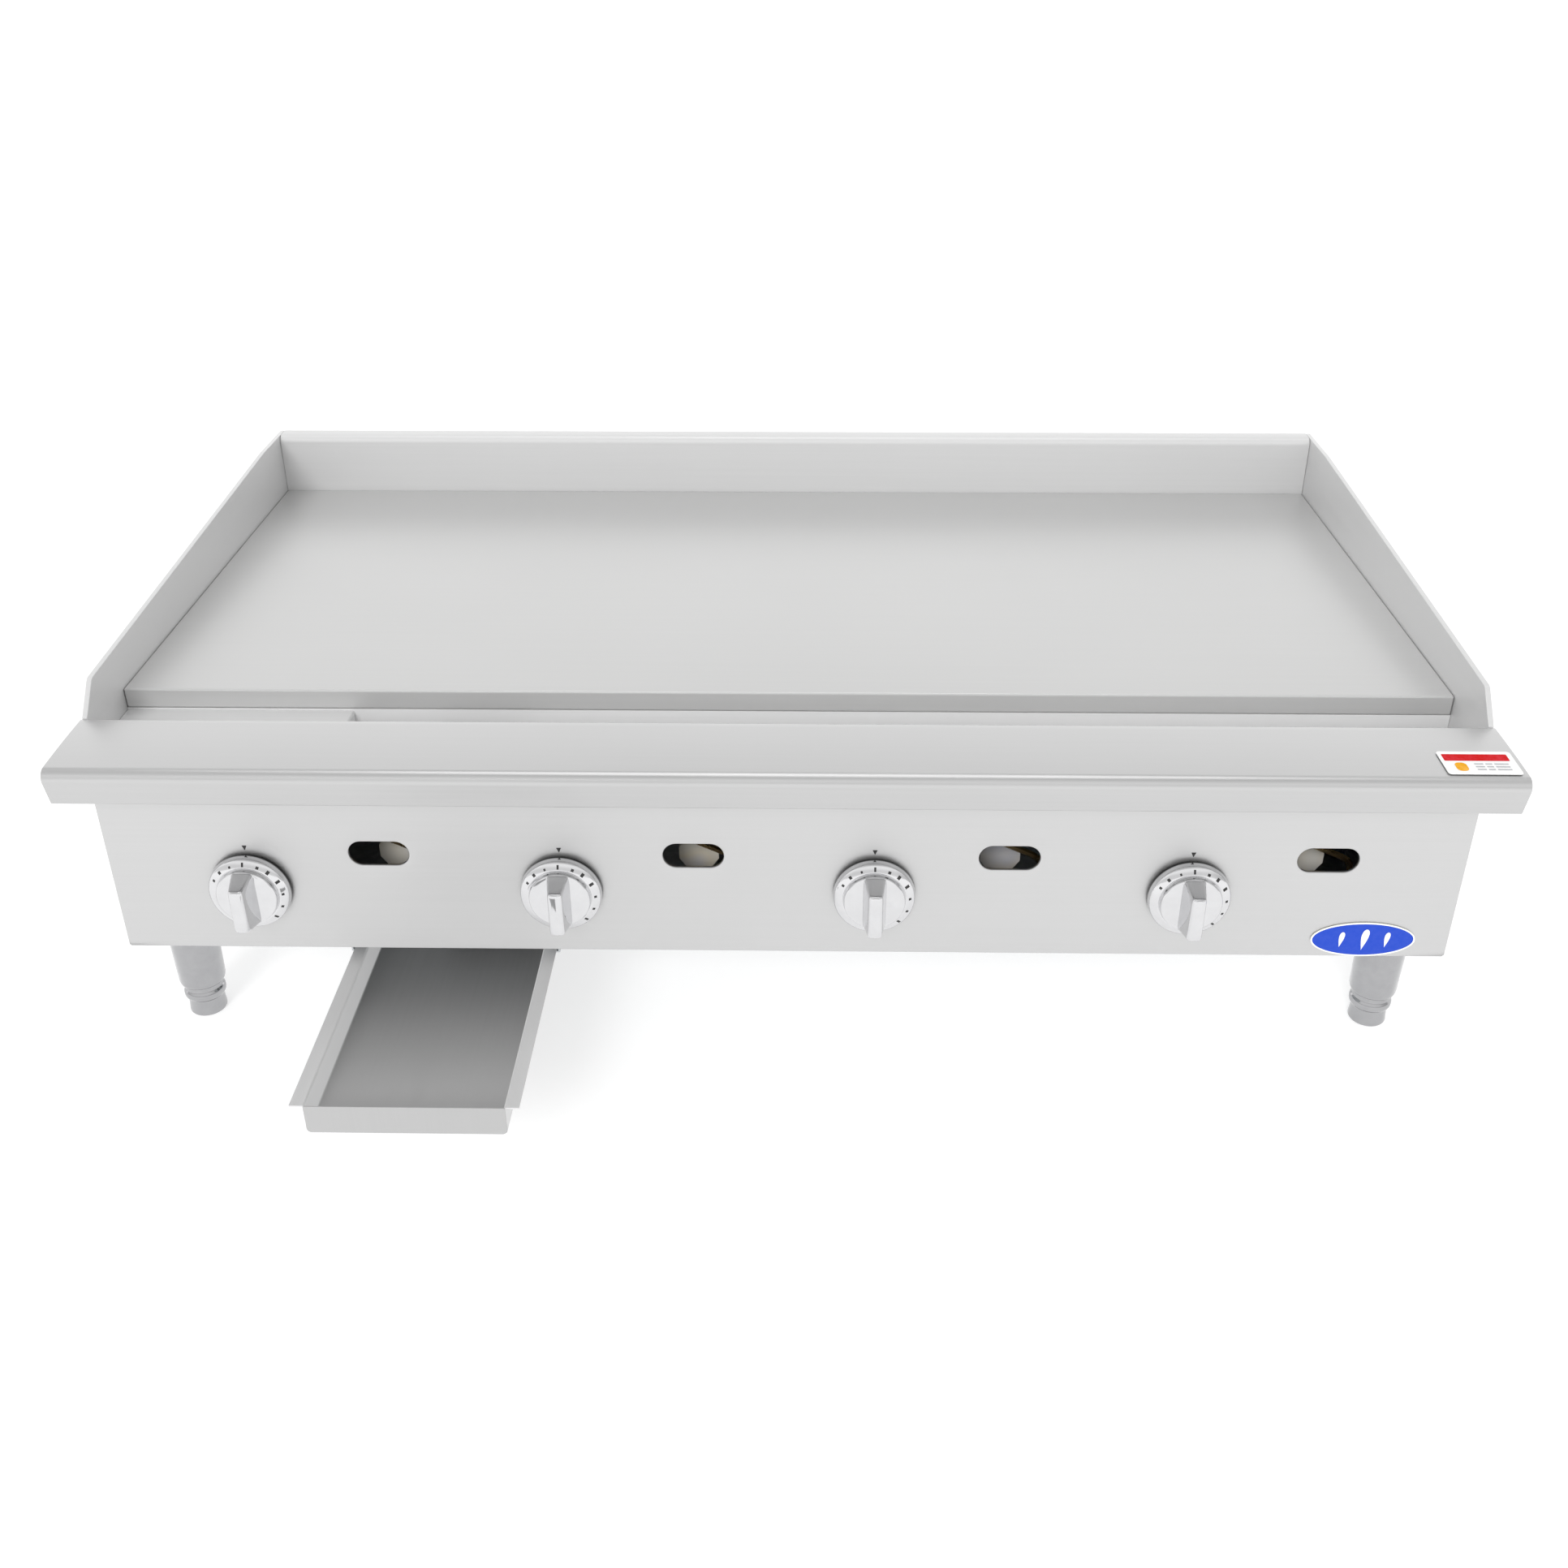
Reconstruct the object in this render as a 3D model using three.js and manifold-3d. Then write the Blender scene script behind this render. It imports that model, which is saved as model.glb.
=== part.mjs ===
// Countertop gas griddle, 48 inches wide: a thick flat steel plate with splash guards on three sides,
// a grease gutter and rail in front, four gas burners under it, and a grease drawer that slides out
// below the cabinet. Millimetres, +X right, +Y to the back, +Z up. The model is laid out with Y = 0 on
// the control panel's front face and Z = 0 on the floor, then the whole group is moved along Y so that
// its origin is the centre of the footprint, pulled-out drawer and gas inlet included.
import * as THREE from 'three';
import { mergeVertices } from 'three/addons/utils/BufferGeometryUtils.js';
import Module from 'manifold-3d';

const wasm = await Module();
wasm.setup();

// ---- Driving dimensions ----
const WIDTH = 1219;            // overall, across the splash guards and the rail
const BACK = 688;              // rear face of the cabinet and splash
const NOSE = -38;              // foremost line of the rail
const HEIGHT = 386;            // top of the back splash
const CABINET_WIDTH = 1180;
const CABINET_BOTTOM = 126;
const SHEET = 1.2;             // cabinet sheet steel
const GAP = 0.3;               // between pieces that touch

const PLATE_TOP = 320;
const PLATE_THICKNESS = 19;
const PLATE_FRONT = 130.5;
const PLATE_BACK = 662;
const SPLASH_THICKNESS = 4.8;
const SPLASH_BOTTOM = 258;
const SPLASH_BEND = 602;       // the side splash is level behind this, and slopes down in front
const SPLASH_FRONT = 78.5;
const SPLASH_FRONT_TOP = 357;

const RAIL_TOP = 330.3;
const RAIL_BACK = 53;
const RAIL_LIP = 293.7;        // lower edge of the rail's front face
const RAIL_LIP_FRONT = -32;
const RAIL_NOSE_RADIUS = 9;
const RAIL_SHEET = 1.5;

const GUTTER_SHEET = 1.5;
const GUTTER_FLOOR = 266;      // underside of the trough
const LEDGE_TOP = 299;
const LEDGE_END = -395;        // right-hand end of the raised ledge
const DRAIN_LEFT = -322;       // the chute passes between two burner tubes
const DRAIN_RIGHT = -238;

const BURNER_PITCH = 274;
const KNOB_OFFSET = -56.5;     // middle of the four knobs, from the centre line
const SLOT_OFFSET = 116.5;     // each sight slot, from its knob
const KNOB_Z = 191;
const SLOT_Z = 227;
const SLOT_LENGTH = 53;
const SLOT_HEIGHT = 24;

const DRAWER_CENTRE = -298;
const DRAWER_INNER = 159.5;    // width between the tray's side walls
const DRAWER_FLANGE = 12.5;
const DRAWER_TOP = 116;
const DRAWER_DEPTH = 27;
const DRAWER_LENGTH = 440;
const DRAWER_FRONT = -201;     // shown pulled out; closed, it is flush with the panel

const LEG_X = 565;
const LEG_FRONT = 76;
const LEG_BACK = 612;
const SLEEVE_BOTTOM = 34;

const INLET_END = 710;
const INLET_X = 545;
const PIPE_RADIUS = 13.35;
const PIPE_Y = 36;
const PIPE_Z = 160;

const HALF = WIDTH / 2;
const SPLASH_INNER = HALF - SPLASH_THICKNESS;
const BETWEEN_SPLASHES = SPLASH_INNER - GAP;
const CABINET_HALF = CABINET_WIDTH / 2;
const INSIDE_CABINET = CABINET_HALF - SHEET - GAP;
const PLATE_BOTTOM = PLATE_TOP - PLATE_THICKNESS;
const UNDER_PLATE = PLATE_BOTTOM - GAP;
const STATIONS = [1, 2, 3, 4];
const knobX = (station) => KNOB_OFFSET + (station - 2.5) * BURNER_PITCH;

// ---- Materials ----
function metal(color, roughness, metalness = 1) {
  return new THREE.MeshStandardMaterial({ color, roughness, metalness });
}
const stainless = metal(0xc9cacb, 0.32);
const groundPlate = metal(0xd0d0cf, 0.38);
const galvanised = metal(0xa9adb0, 0.5);
const chrome = metal(0xe6e8ea, 0.08);
const brass = metal(0xc8a04a, 0.35);
const aluminised = metal(0x9c9c99, 0.55);
const blueEnamel = metal(0x2f5fb8, 0.3, 0);
const labelFilm = metal(0xf4f4f2, 0.5, 0);

// ---- Shape helpers ----
const griddle = new THREE.Group();

function piece(name, geometry, material) {
  const mesh = new THREE.Mesh(geometry, material);
  mesh.name = name;
  griddle.add(mesh);
  return mesh;
}

function toSolid(geometry) {
  const bare = geometry.clone();
  bare.deleteAttribute('normal');
  bare.deleteAttribute('uv');
  const merged = mergeVertices(bare, 1e-4);
  return new wasm.Manifold(new wasm.Mesh({
    numProp: 3,
    vertProperties: new Float32Array(merged.attributes.position.array),
    triVerts: new Uint32Array(merged.index.array),
  }));
}

function toGeometry(solid) {
  const mesh = solid.getMesh();
  const geometry = new THREE.BufferGeometry();
  geometry.setAttribute('position', new THREE.BufferAttribute(new Float32Array(mesh.vertProperties), 3));
  geometry.setIndex(new THREE.BufferAttribute(new Uint32Array(mesh.triVerts), 1));
  geometry.computeVertexNormals();
  return geometry;
}

function join(...geometries) {
  return toGeometry(geometries.map(toSolid).reduce((whole, part) => whole.add(part)));
}

function cut(geometry, ...tools) {
  return toGeometry(tools.map(toSolid).reduce((left, tool) => left.subtract(tool), toSolid(geometry)));
}

// A box between two corners.
function box(x0, x1, y0, y1, z0, z1) {
  const geometry = new THREE.BoxGeometry(x1 - x0, y1 - y0, z1 - z0);
  return geometry.translate((x0 + x1) / 2, (y0 + y1) / 2, (z0 + z1) / 2);
}

function extrude(shape, length, curveSegments) {
  return new THREE.ExtrudeGeometry(shape, { depth: length, bevelEnabled: false, curveSegments });
}

// A shape drawn in (Y, Z), carried from x0 to x1.
function alongX(shape, x0, x1, curveSegments = 4) {
  const turn = new THREE.Matrix4().makeBasis(
    new THREE.Vector3(0, 1, 0), new THREE.Vector3(0, 0, 1), new THREE.Vector3(1, 0, 0));
  return extrude(shape, x1 - x0, curveSegments).applyMatrix4(turn).translate(x0, 0, 0);
}

// A shape drawn in (X, Z), carried from y0 to y1.
function alongY(shape, y0, y1, curveSegments = 6) {
  return extrude(shape, y1 - y0, curveSegments).rotateX(Math.PI / 2).translate(0, y1, 0);
}

// A (radius, height) profile turned about a vertical axis, or about an axis that points to the front.
function turned(profile, segments) {
  return new THREE.LatheGeometry(profile.map(([r, h]) => new THREE.Vector2(r, h)), segments);
}
const turnedUp = (profile, segments = 20) => turned(profile, segments).rotateX(Math.PI / 2);
const turnedForward = (profile, segments = 20) => turned(profile, segments).rotateX(Math.PI);

// A round bar or bore along Y.
function roundY(radius, x, y0, y1, z, sides = 12) {
  return new THREE.CylinderGeometry(radius, radius, y1 - y0, sides).translate(x, (y0 + y1) / 2, z);
}

// A closed outline through straight corners.
function outline(points) {
  return new THREE.Shape(points.map(([a, b]) => new THREE.Vector2(a, b)));
}

// The section of a folded sheet: its outer face follows the points, and its thickness lies to the left.
function folded(points, thickness) {
  const line = points.map(([a, b]) => new THREE.Vector2(a, b));
  const normals = line.slice(1).map((end, i) => {
    const run = end.clone().sub(line[i]).normalize();
    return new THREE.Vector2(-run.y, run.x);
  });
  const inner = line.map((point, i) => {
    const before = normals[Math.max(i - 1, 0)];
    const after = normals[Math.min(i, normals.length - 1)];
    const mitre = before.clone().add(after).normalize();
    return point.clone().addScaledVector(mitre, thickness / mitre.dot(before));
  });
  return new THREE.Shape([...line, ...inner.reverse()]);
}

// Points on an arc, as [a, b] pairs, between two angles in degrees.
function arc(a, b, radius, from, to, steps = 4) {
  return Array.from({ length: steps + 1 }, (_, i) => {
    const angle = THREE.MathUtils.degToRad(from + (to - from) * i / steps);
    return [a + radius * Math.cos(angle), b + radius * Math.sin(angle)];
  });
}

// A round bar carried along a rounded path through the given corners.
function pipe(corners, radius, bendRadius, sides = 10, bendSteps = 4) {
  const path = new THREE.CurvePath();
  const points = corners.map((c) => new THREE.Vector3(...c));
  let start = points[0];
  for (let i = 1; i < points.length - 1; i += 1) {
    const back = points[i - 1].clone().sub(points[i]).normalize();
    const ahead = points[i + 1].clone().sub(points[i]).normalize();
    const bendStart = points[i].clone().addScaledVector(back, bendRadius);
    const bendEnd = points[i].clone().addScaledVector(ahead, bendRadius);
    path.add(new THREE.LineCurve3(start, bendStart));
    path.add(new THREE.QuadraticBezierCurve3(bendStart, points[i], bendEnd));
    start = bendEnd;
  }
  path.add(new THREE.LineCurve3(start, points[points.length - 1]));
  return sweep(path, radius, sides, bendSteps);
}

// Sections are placed at each curve's own steps, so straight runs stay cheap.
function sweep(path, radius, sides, bendSteps) {
  const stations = [];
  path.curves.forEach((curve, index) => {
    const steps = curve.isLineCurve3 ? 1 : bendSteps;
    for (let i = index === 0 ? 0 : 1; i <= steps; i += 1) {
      stations.push({ at: curve.getPoint(i / steps), run: curve.getTangent(i / steps) });
    }
  });
  let side = new THREE.Vector3(0, 0, 1);
  if (Math.abs(side.dot(stations[0].run)) > 0.9) side = new THREE.Vector3(1, 0, 0);
  const positions = [];
  stations.forEach(({ at, run }) => {
    side.addScaledVector(run, -side.dot(run)).normalize();
    const other = new THREE.Vector3().crossVectors(run, side);
    for (let j = 0; j < sides; j += 1) {
      const angle = 2 * Math.PI * j / sides;
      const point = at.clone().addScaledVector(side, radius * Math.cos(angle));
      point.addScaledVector(other, radius * Math.sin(angle));
      positions.push(point.x, point.y, point.z);
    }
  });
  const index = [];
  const last = (stations.length - 1) * sides;
  for (let i = 0; i < stations.length - 1; i += 1) {
    for (let j = 0; j < sides; j += 1) {
      const a = i * sides + j;
      const b = i * sides + (j + 1) % sides;
      index.push(a, b, b + sides, a, b + sides, a + sides);
    }
  }
  for (let j = 1; j < sides - 1; j += 1) {
    index.push(0, j + 1, j, last, last + j, last + j + 1);
  }
  const geometry = new THREE.BufferGeometry();
  geometry.setAttribute('position', new THREE.Float32BufferAttribute(positions, 3));
  geometry.setIndex(index);
  return geometry;
}

// ---- Griddle plate ----
const PLATE_EDGE_RADIUS = 2;
piece('griddle_plate', alongX(outline([
  [PLATE_FRONT, PLATE_BOTTOM], [PLATE_BACK, PLATE_BOTTOM], [PLATE_BACK, PLATE_TOP],
  ...arc(PLATE_FRONT + PLATE_EDGE_RADIUS, PLATE_TOP - PLATE_EDGE_RADIUS, PLATE_EDGE_RADIUS, 90, 180, 3),
]), -BETWEEN_SPLASHES, BETWEEN_SPLASHES), groundPlate);

// ---- Splash guards, welded round three sides of the plate ----
const BACK_SPLASH_THICKNESS = 3;
const BACK_SPLASH_BEND = 8;
const BACK_SPLASH_LIP = 14;
const backSplashFront = PLATE_BACK + GAP;
const backSplashSection = folded([
  [backSplashFront, PLATE_BOTTOM],
  ...arc(backSplashFront + BACK_SPLASH_BEND, HEIGHT - BACK_SPLASH_BEND, BACK_SPLASH_BEND, 180, 90),
  [BACK, HEIGHT],
  [BACK, HEIGHT - BACK_SPLASH_LIP],
], -BACK_SPLASH_THICKNESS);
piece('back_splash', alongX(backSplashSection, -BETWEEN_SPLASHES, BETWEEN_SPLASHES), stainless);

const sideSplashOutline = outline([
  [RAIL_BACK + GAP, SPLASH_BOTTOM], [BACK, SPLASH_BOTTOM], [BACK, HEIGHT], [SPLASH_BEND, HEIGHT],
  [SPLASH_FRONT, SPLASH_FRONT_TOP], [RAIL_BACK + GAP, RAIL_TOP],
]);
piece('left_side_splash', alongX(sideSplashOutline, -HALF, -SPLASH_INNER), stainless);
piece('right_side_splash', alongX(sideSplashOutline, SPLASH_INNER, HALF), stainless);

// ---- Grease gutter: a trough across the front of the plate, with a drain over the drawer ----
const GUTTER_FLANGE = 14;
const GUTTER_FRONT_TOP = 322;
const DRAIN_MARGIN = 14;
const gutterFront = RAIL_BACK + GAP;
const gutterBack = PLATE_FRONT + 0.7 + GUTTER_SHEET;
const gutterSection = folded([
  [gutterFront, GUTTER_FRONT_TOP], [gutterFront, GUTTER_FLOOR], [gutterBack, GUTTER_FLOOR],
  [gutterBack, UNDER_PLATE - GUTTER_SHEET], [gutterBack + GUTTER_FLANGE, UNDER_PLATE - GUTTER_SHEET],
], GUTTER_SHEET);
const drainFront = gutterFront + GUTTER_SHEET + DRAIN_MARGIN;
const drainBack = gutterBack - GUTTER_SHEET - DRAIN_MARGIN;
piece('grease_gutter', cut(
  alongX(gutterSection, -BETWEEN_SPLASHES, BETWEEN_SPLASHES),
  box(DRAIN_LEFT, DRAIN_RIGHT, drainFront, drainBack, GUTTER_FLOOR - 1, GUTTER_FLOOR + GUTTER_SHEET + 1),
), stainless);

const ledgeFront = gutterFront + GUTTER_SHEET + GAP;
const ledgeBack = PLATE_FRONT + 0.7 - GAP;
const ledgeSection = folded([
  [-BETWEEN_SPLASHES, LEDGE_TOP - GUTTER_SHEET], [LEDGE_END - GUTTER_SHEET, LEDGE_TOP - GUTTER_SHEET],
  [LEDGE_END - GUTTER_SHEET, GUTTER_FLOOR + GUTTER_SHEET + GAP],
], GUTTER_SHEET);
piece('gutter_ledge', alongY(ledgeSection, ledgeFront, ledgeBack), stainless);

// The chute is a square duct from the drain to just above the drawer, with a collar under the trough.
const CHUTE_BOTTOM = 121;
const CHUTE_COLLAR = 4;
const chuteTop = GUTTER_FLOOR - GAP;
const chuteBore = box(DRAIN_LEFT, DRAIN_RIGHT, drainFront, drainBack, CHUTE_BOTTOM - 1, chuteTop + 1);
piece('drain_chute', cut(join(
  box(DRAIN_LEFT - SHEET, DRAIN_RIGHT + SHEET, drainFront - SHEET, drainBack + SHEET, CHUTE_BOTTOM, chuteTop),
  box(DRAIN_LEFT - CHUTE_COLLAR, DRAIN_RIGHT + CHUTE_COLLAR, drainFront - CHUTE_COLLAR,
    drainBack + CHUTE_COLLAR, chuteTop - SHEET, chuteTop),
), chuteBore), stainless);

// ---- Front rail: a folded sheet with a round nose and closed ends ----
const RAIL_BACK_LIP = 300;
const RAIL_RETURN = -0.5;      // the lower return ends just in front of the panel
const railOuter = [
  [RAIL_BACK, RAIL_BACK_LIP],
  ...arc(RAIL_BACK - 3, RAIL_TOP - 3, 3, 0, 90, 3),
  ...arc(NOSE + RAIL_NOSE_RADIUS, RAIL_TOP - RAIL_NOSE_RADIUS, RAIL_NOSE_RADIUS, 90, 190, 6),
  [RAIL_LIP_FRONT, RAIL_LIP],
  [RAIL_RETURN, RAIL_LIP],
];
piece('front_rail', join(
  alongX(folded(railOuter, RAIL_SHEET), -HALF, HALF),
  alongX(outline([...railOuter, [RAIL_RETURN, RAIL_BACK_LIP]]), -HALF, -HALF + RAIL_SHEET),
  alongX(outline([...railOuter, [RAIL_RETURN, RAIL_BACK_LIP]]), HALF - RAIL_SHEET, HALF),
), stainless);

// ---- Cabinet: control panel, side panels, back panel and base pan ----
const PANEL_TOP = 326;
const PANEL_RETURN = 14;
const PANEL_BORE = 6.5;
function obround(length, height, x, z) {
  const radius = height / 2;
  const reach = length / 2 - radius;
  const shape = new THREE.Shape();
  shape.absarc(x + reach, z, radius, -Math.PI / 2, Math.PI / 2);
  shape.absarc(x - reach, z, radius, Math.PI / 2, 3 * Math.PI / 2);
  return shape;
}
piece('control_panel', cut(
  box(-CABINET_HALF, CABINET_HALF, 0, PANEL_RETURN, CABINET_BOTTOM, PANEL_TOP),
  box(-CABINET_HALF + SHEET, CABINET_HALF - SHEET, SHEET, PANEL_RETURN + 1,
    CABINET_BOTTOM + SHEET, PANEL_TOP + 1),
  ...STATIONS.map((n) => roundY(PANEL_BORE, knobX(n), -1, SHEET + 1, KNOB_Z, 10)),
  ...STATIONS.map((n) => alongY(obround(SLOT_LENGTH, SLOT_HEIGHT, knobX(n) + SLOT_OFFSET, SLOT_Z), -1, 3, 6)),
), stainless);

// Each side panel has a turned-in top that carries the plate, and is cut away under the gutter.
const SIDE_FLANGE = 14;
const NOTCH_TOP = GUTTER_FLOOR - GAP;
const notchBack = gutterBack + GUTTER_FLANGE + GAP;
const notchFront = RAIL_BACK - RAIL_SHEET - GAP;
function sidePanel(side) {
  const outer = side * CABINET_HALF;
  const inner = side * (CABINET_HALF - SHEET);
  const flange = side * (CABINET_HALF - SIDE_FLANGE);
  const span = (a, b) => [Math.min(a, b), Math.max(a, b)];
  return join(
    alongX(outline([
      [PANEL_RETURN + GAP, CABINET_BOTTOM], [BACK, CABINET_BOTTOM], [BACK, UNDER_PLATE],
      [notchBack, UNDER_PLATE], [notchBack, NOTCH_TOP], [notchFront, NOTCH_TOP],
      [notchFront, PANEL_TOP], [PANEL_RETURN + GAP, PANEL_TOP],
    ]), ...span(outer, inner)),
    box(...span(outer, flange), notchBack, PLATE_BACK, UNDER_PLATE - SHEET, UNDER_PLATE),
  );
}
piece('left_side_panel', sidePanel(-1), stainless);
piece('right_side_panel', sidePanel(1), stainless);

piece('back_panel', cut(
  box(-INSIDE_CABINET, INSIDE_CABINET, BACK - SHEET, BACK, CABINET_BOTTOM + SHEET + GAP, UNDER_PLATE),
  roundY(PIPE_RADIUS + 2, INLET_X, BACK - 5, BACK + 5, PIPE_Z),
), galvanised);

const PAN_RIM = 14;
const panBack = BACK - SHEET - GAP;
piece('base_pan', cut(
  box(-INSIDE_CABINET, INSIDE_CABINET, PANEL_RETURN + GAP, panBack, CABINET_BOTTOM, CABINET_BOTTOM + PAN_RIM),
  box(-INSIDE_CABINET + SHEET, INSIDE_CABINET - SHEET, PANEL_RETURN, panBack - SHEET,
    CABINET_BOTTOM + SHEET, CABINET_BOTTOM + PAN_RIM + 1),
  box(DRAIN_LEFT - 3, DRAIN_RIGHT + 3, drainFront - 3, drainBack + 3, CABINET_BOTTOM - 1, CABINET_BOTTOM + 2),
), galvanised);

// ---- Burners: U-shaped tubes, fed at the knob side and ending by the sight slot ----
const BURNER_RADIUS = 19;
const BURNER_WALL = 1.5;
const BURNER_MOUTH = 66;
const BURNER_TURN = 600;       // how far back the tube turns round
const BURNER_END = 62;         // the tip stands just behind the sight slot
const PORT_START = 152;
const PORTS = [1, 2, 3];
const PORT_PITCH = 105;
const PORT_LENGTH = 80;
function burner(station) {
  const feed = knobX(station);
  const tip = feed + SLOT_OFFSET;
  const tube = (radius, mouth, end) => pipe([
    [feed, mouth, KNOB_Z], [feed, BURNER_TURN, KNOB_Z], [tip, BURNER_TURN, KNOB_Z], [tip, end, KNOB_Z],
  ], radius, 54, 10, 3);
  const ports = [feed, tip].flatMap((x) => PORTS.map((i) => {
    const y = PORT_START + i * PORT_PITCH;
    return box(x - 1.5, x + 1.5, y, y + PORT_LENGTH, KNOB_Z + 10, KNOB_Z + 30);
  }));
  const window = box(feed - 30, feed + 30, BURNER_MOUTH + 6, BURNER_MOUTH + 20, KNOB_Z - 6, KNOB_Z + 6);
  return cut(
    tube(BURNER_RADIUS, BURNER_MOUTH, BURNER_END),
    tube(BURNER_RADIUS - BURNER_WALL, BURNER_MOUTH - 5, BURNER_END + BURNER_WALL),
    window, ...ports);
}
STATIONS.forEach((n) => piece(`burner_${n}`, burner(n), aluminised));

// The air shutter is a split-window sleeve that turns on the burner's mouth.
const SHUTTER_BORE = BURNER_RADIUS + 0.5;
const SHUTTER_RADIUS = SHUTTER_BORE + 1.6;
STATIONS.forEach((n) => {
  const x = knobX(n);
  const front = BURNER_MOUTH + 1;
  const back = BURNER_MOUTH + 25;
  piece(`air_shutter_${n}`, cut(
    roundY(SHUTTER_RADIUS, x, front, back, KNOB_Z, 16),
    roundY(SHUTTER_BORE, x, front - 1, back + 1, KNOB_Z, 16),
    box(x - 30, x + 30, front + 6, back - 5, KNOB_Z - 5, KNOB_Z + 5),
  ), galvanised);
});

// Two cross angles carry the burner tubes.
const SUPPORT_TOP = KNOB_Z - BURNER_RADIUS - GAP;
const SUPPORT_LEG = 24;
const SUPPORT_SHEET = 2;
const SUPPORT_RIGHT = 520;      // short of the inlet pipe on the right
function crossAngle(y) {
  return alongX(folded([
    [y, SUPPORT_TOP - SUPPORT_LEG], [y, SUPPORT_TOP], [y + SUPPORT_LEG, SUPPORT_TOP],
  ], -SUPPORT_SHEET), -INSIDE_CABINET, SUPPORT_RIGHT);
}
piece('front_burner_support', crossAngle(180), galvanised);
piece('rear_burner_support', crossAngle(560), galvanised);

// ---- Gas train: manifold, inlet, valves, stems and pilots ----
const MANIFOLD_END = 560;
piece('gas_manifold', pipe([
  [-520, PIPE_Y, PIPE_Z], [INLET_X, PIPE_Y, PIPE_Z], [INLET_X, MANIFOLD_END, PIPE_Z],
], PIPE_RADIUS, 30, 14, 5), galvanised);

// The inlet is a pipe nipple with a hexagon collar, and it is open at the back for the supply.
const INLET_COLLAR = 17;
piece('gas_inlet', cut(join(
  roundY(PIPE_RADIUS, INLET_X, MANIFOLD_END + GAP, INLET_END, PIPE_Z, 20),
  roundY(INLET_COLLAR, INLET_X, MANIFOLD_END + GAP, MANIFOLD_END + 24, PIPE_Z, 6),
), roundY(PIPE_RADIUS - 2.9, INLET_X, MANIFOLD_END + 40, INLET_END + 1, PIPE_Z, 16)), galvanised);

const STEM_RADIUS = 4;
const STEM_FRONT = -24;
const STEM_BACK = 30;
const VALVE_FRONT = 12;
const VALVE_BACK = 50;
STATIONS.forEach((n) => {
  const x = knobX(n);
  piece(`gas_valve_${n}`, cut(join(
    box(x - 11, x + 11, VALVE_FRONT, VALVE_BACK, KNOB_Z - 14, KNOB_Z + 14),
    roundY(8, x, 3, VALVE_FRONT + 1, KNOB_Z, 12),
    roundY(6, x, VALVE_BACK - 1, BURNER_MOUTH + 4, KNOB_Z, 12),
    new THREE.CylinderGeometry(7, 7, KNOB_Z - 13 - (PIPE_Z + PIPE_RADIUS + GAP), 12).rotateX(Math.PI / 2)
      .translate(x, PIPE_Y, (KNOB_Z - 13 + PIPE_Z + PIPE_RADIUS + GAP) / 2),
  ), roundY(STEM_RADIUS + GAP, x, 0, STEM_BACK + GAP, KNOB_Z, 12)), brass);
  piece(`valve_stem_${n}`, cut(
    roundY(STEM_RADIUS, x, STEM_FRONT, STEM_BACK, KNOB_Z, 12),
    box(x - 5, x + 5, STEM_FRONT - 1, -4, KNOB_Z - 5, KNOB_Z - 2.4),
  ), chrome);
});

// Each pilot is fed from the manifold by a thin tube that crosses behind the sight slot.
const PILOT_TUBE = 3;
const PILOT_HEAD = 6;
STATIONS.forEach((n) => {
  const slot = knobX(n) + SLOT_OFFSET;
  const side = slot - 46;
  piece(`pilot_${n}`, join(
    pipe([
      [slot + 34, PIPE_Y, PIPE_Z + PIPE_RADIUS + GAP + 1], [slot + 34, PIPE_Y, 204],
      [side, PIPE_Y + 8, 236], [side, 168, 216],
    ], PILOT_TUBE, 10, 6, 3),
    roundY(PILOT_HEAD, side, 160, 188, 216, 10),
  ), brass);
});

// ---- Knobs: a skirt, a raised dial and a tapered bar grip ----
const KNOB_SKIRT = 36;
const KNOB_DIAL = 27;
const KNOB_CLEARANCE = 1;
const KNOB_LENGTH = 41;
const GRIP_BASE = 15;          // where the bar leaves the dial
const knobProfile = [
  [0, KNOB_CLEARANCE], [KNOB_SKIRT - 1, KNOB_CLEARANCE], [KNOB_SKIRT, 2.5], [KNOB_SKIRT - 1, 9],
  [KNOB_SKIRT - 4, 12.5], [KNOB_DIAL, 13], [KNOB_DIAL - 1.5, 17], [0, 18.5],
];
function grip() {
  const side = outline([[-29, GRIP_BASE], [29, GRIP_BASE], [23, KNOB_LENGTH], [-23, KNOB_LENGTH]]);
  const front = outline([[-8.5, GRIP_BASE - 1], [8.5, GRIP_BASE - 1], [5, KNOB_LENGTH + 1], [-5, KNOB_LENGTH + 1]]);
  const long = extrude(side, 30, 1).translate(0, 0, -15).rotateY(Math.PI / 2);
  const wedge = extrude(front, 80, 1).translate(0, 0, -40);
  return toGeometry(toSolid(long).intersect(toSolid(wedge))).rotateX(Math.PI);
}
STATIONS.forEach((n) => {
  const bore = roundY(STEM_RADIUS + 0.1 + GAP, 0, STEM_FRONT - GAP, 1, 0, 12);
  const knob = cut(join(turnedForward(knobProfile, 28), grip()), bore);
  piece(`knob_${n}`, knob, chrome).position.set(knobX(n), 0, KNOB_Z);
});

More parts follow.
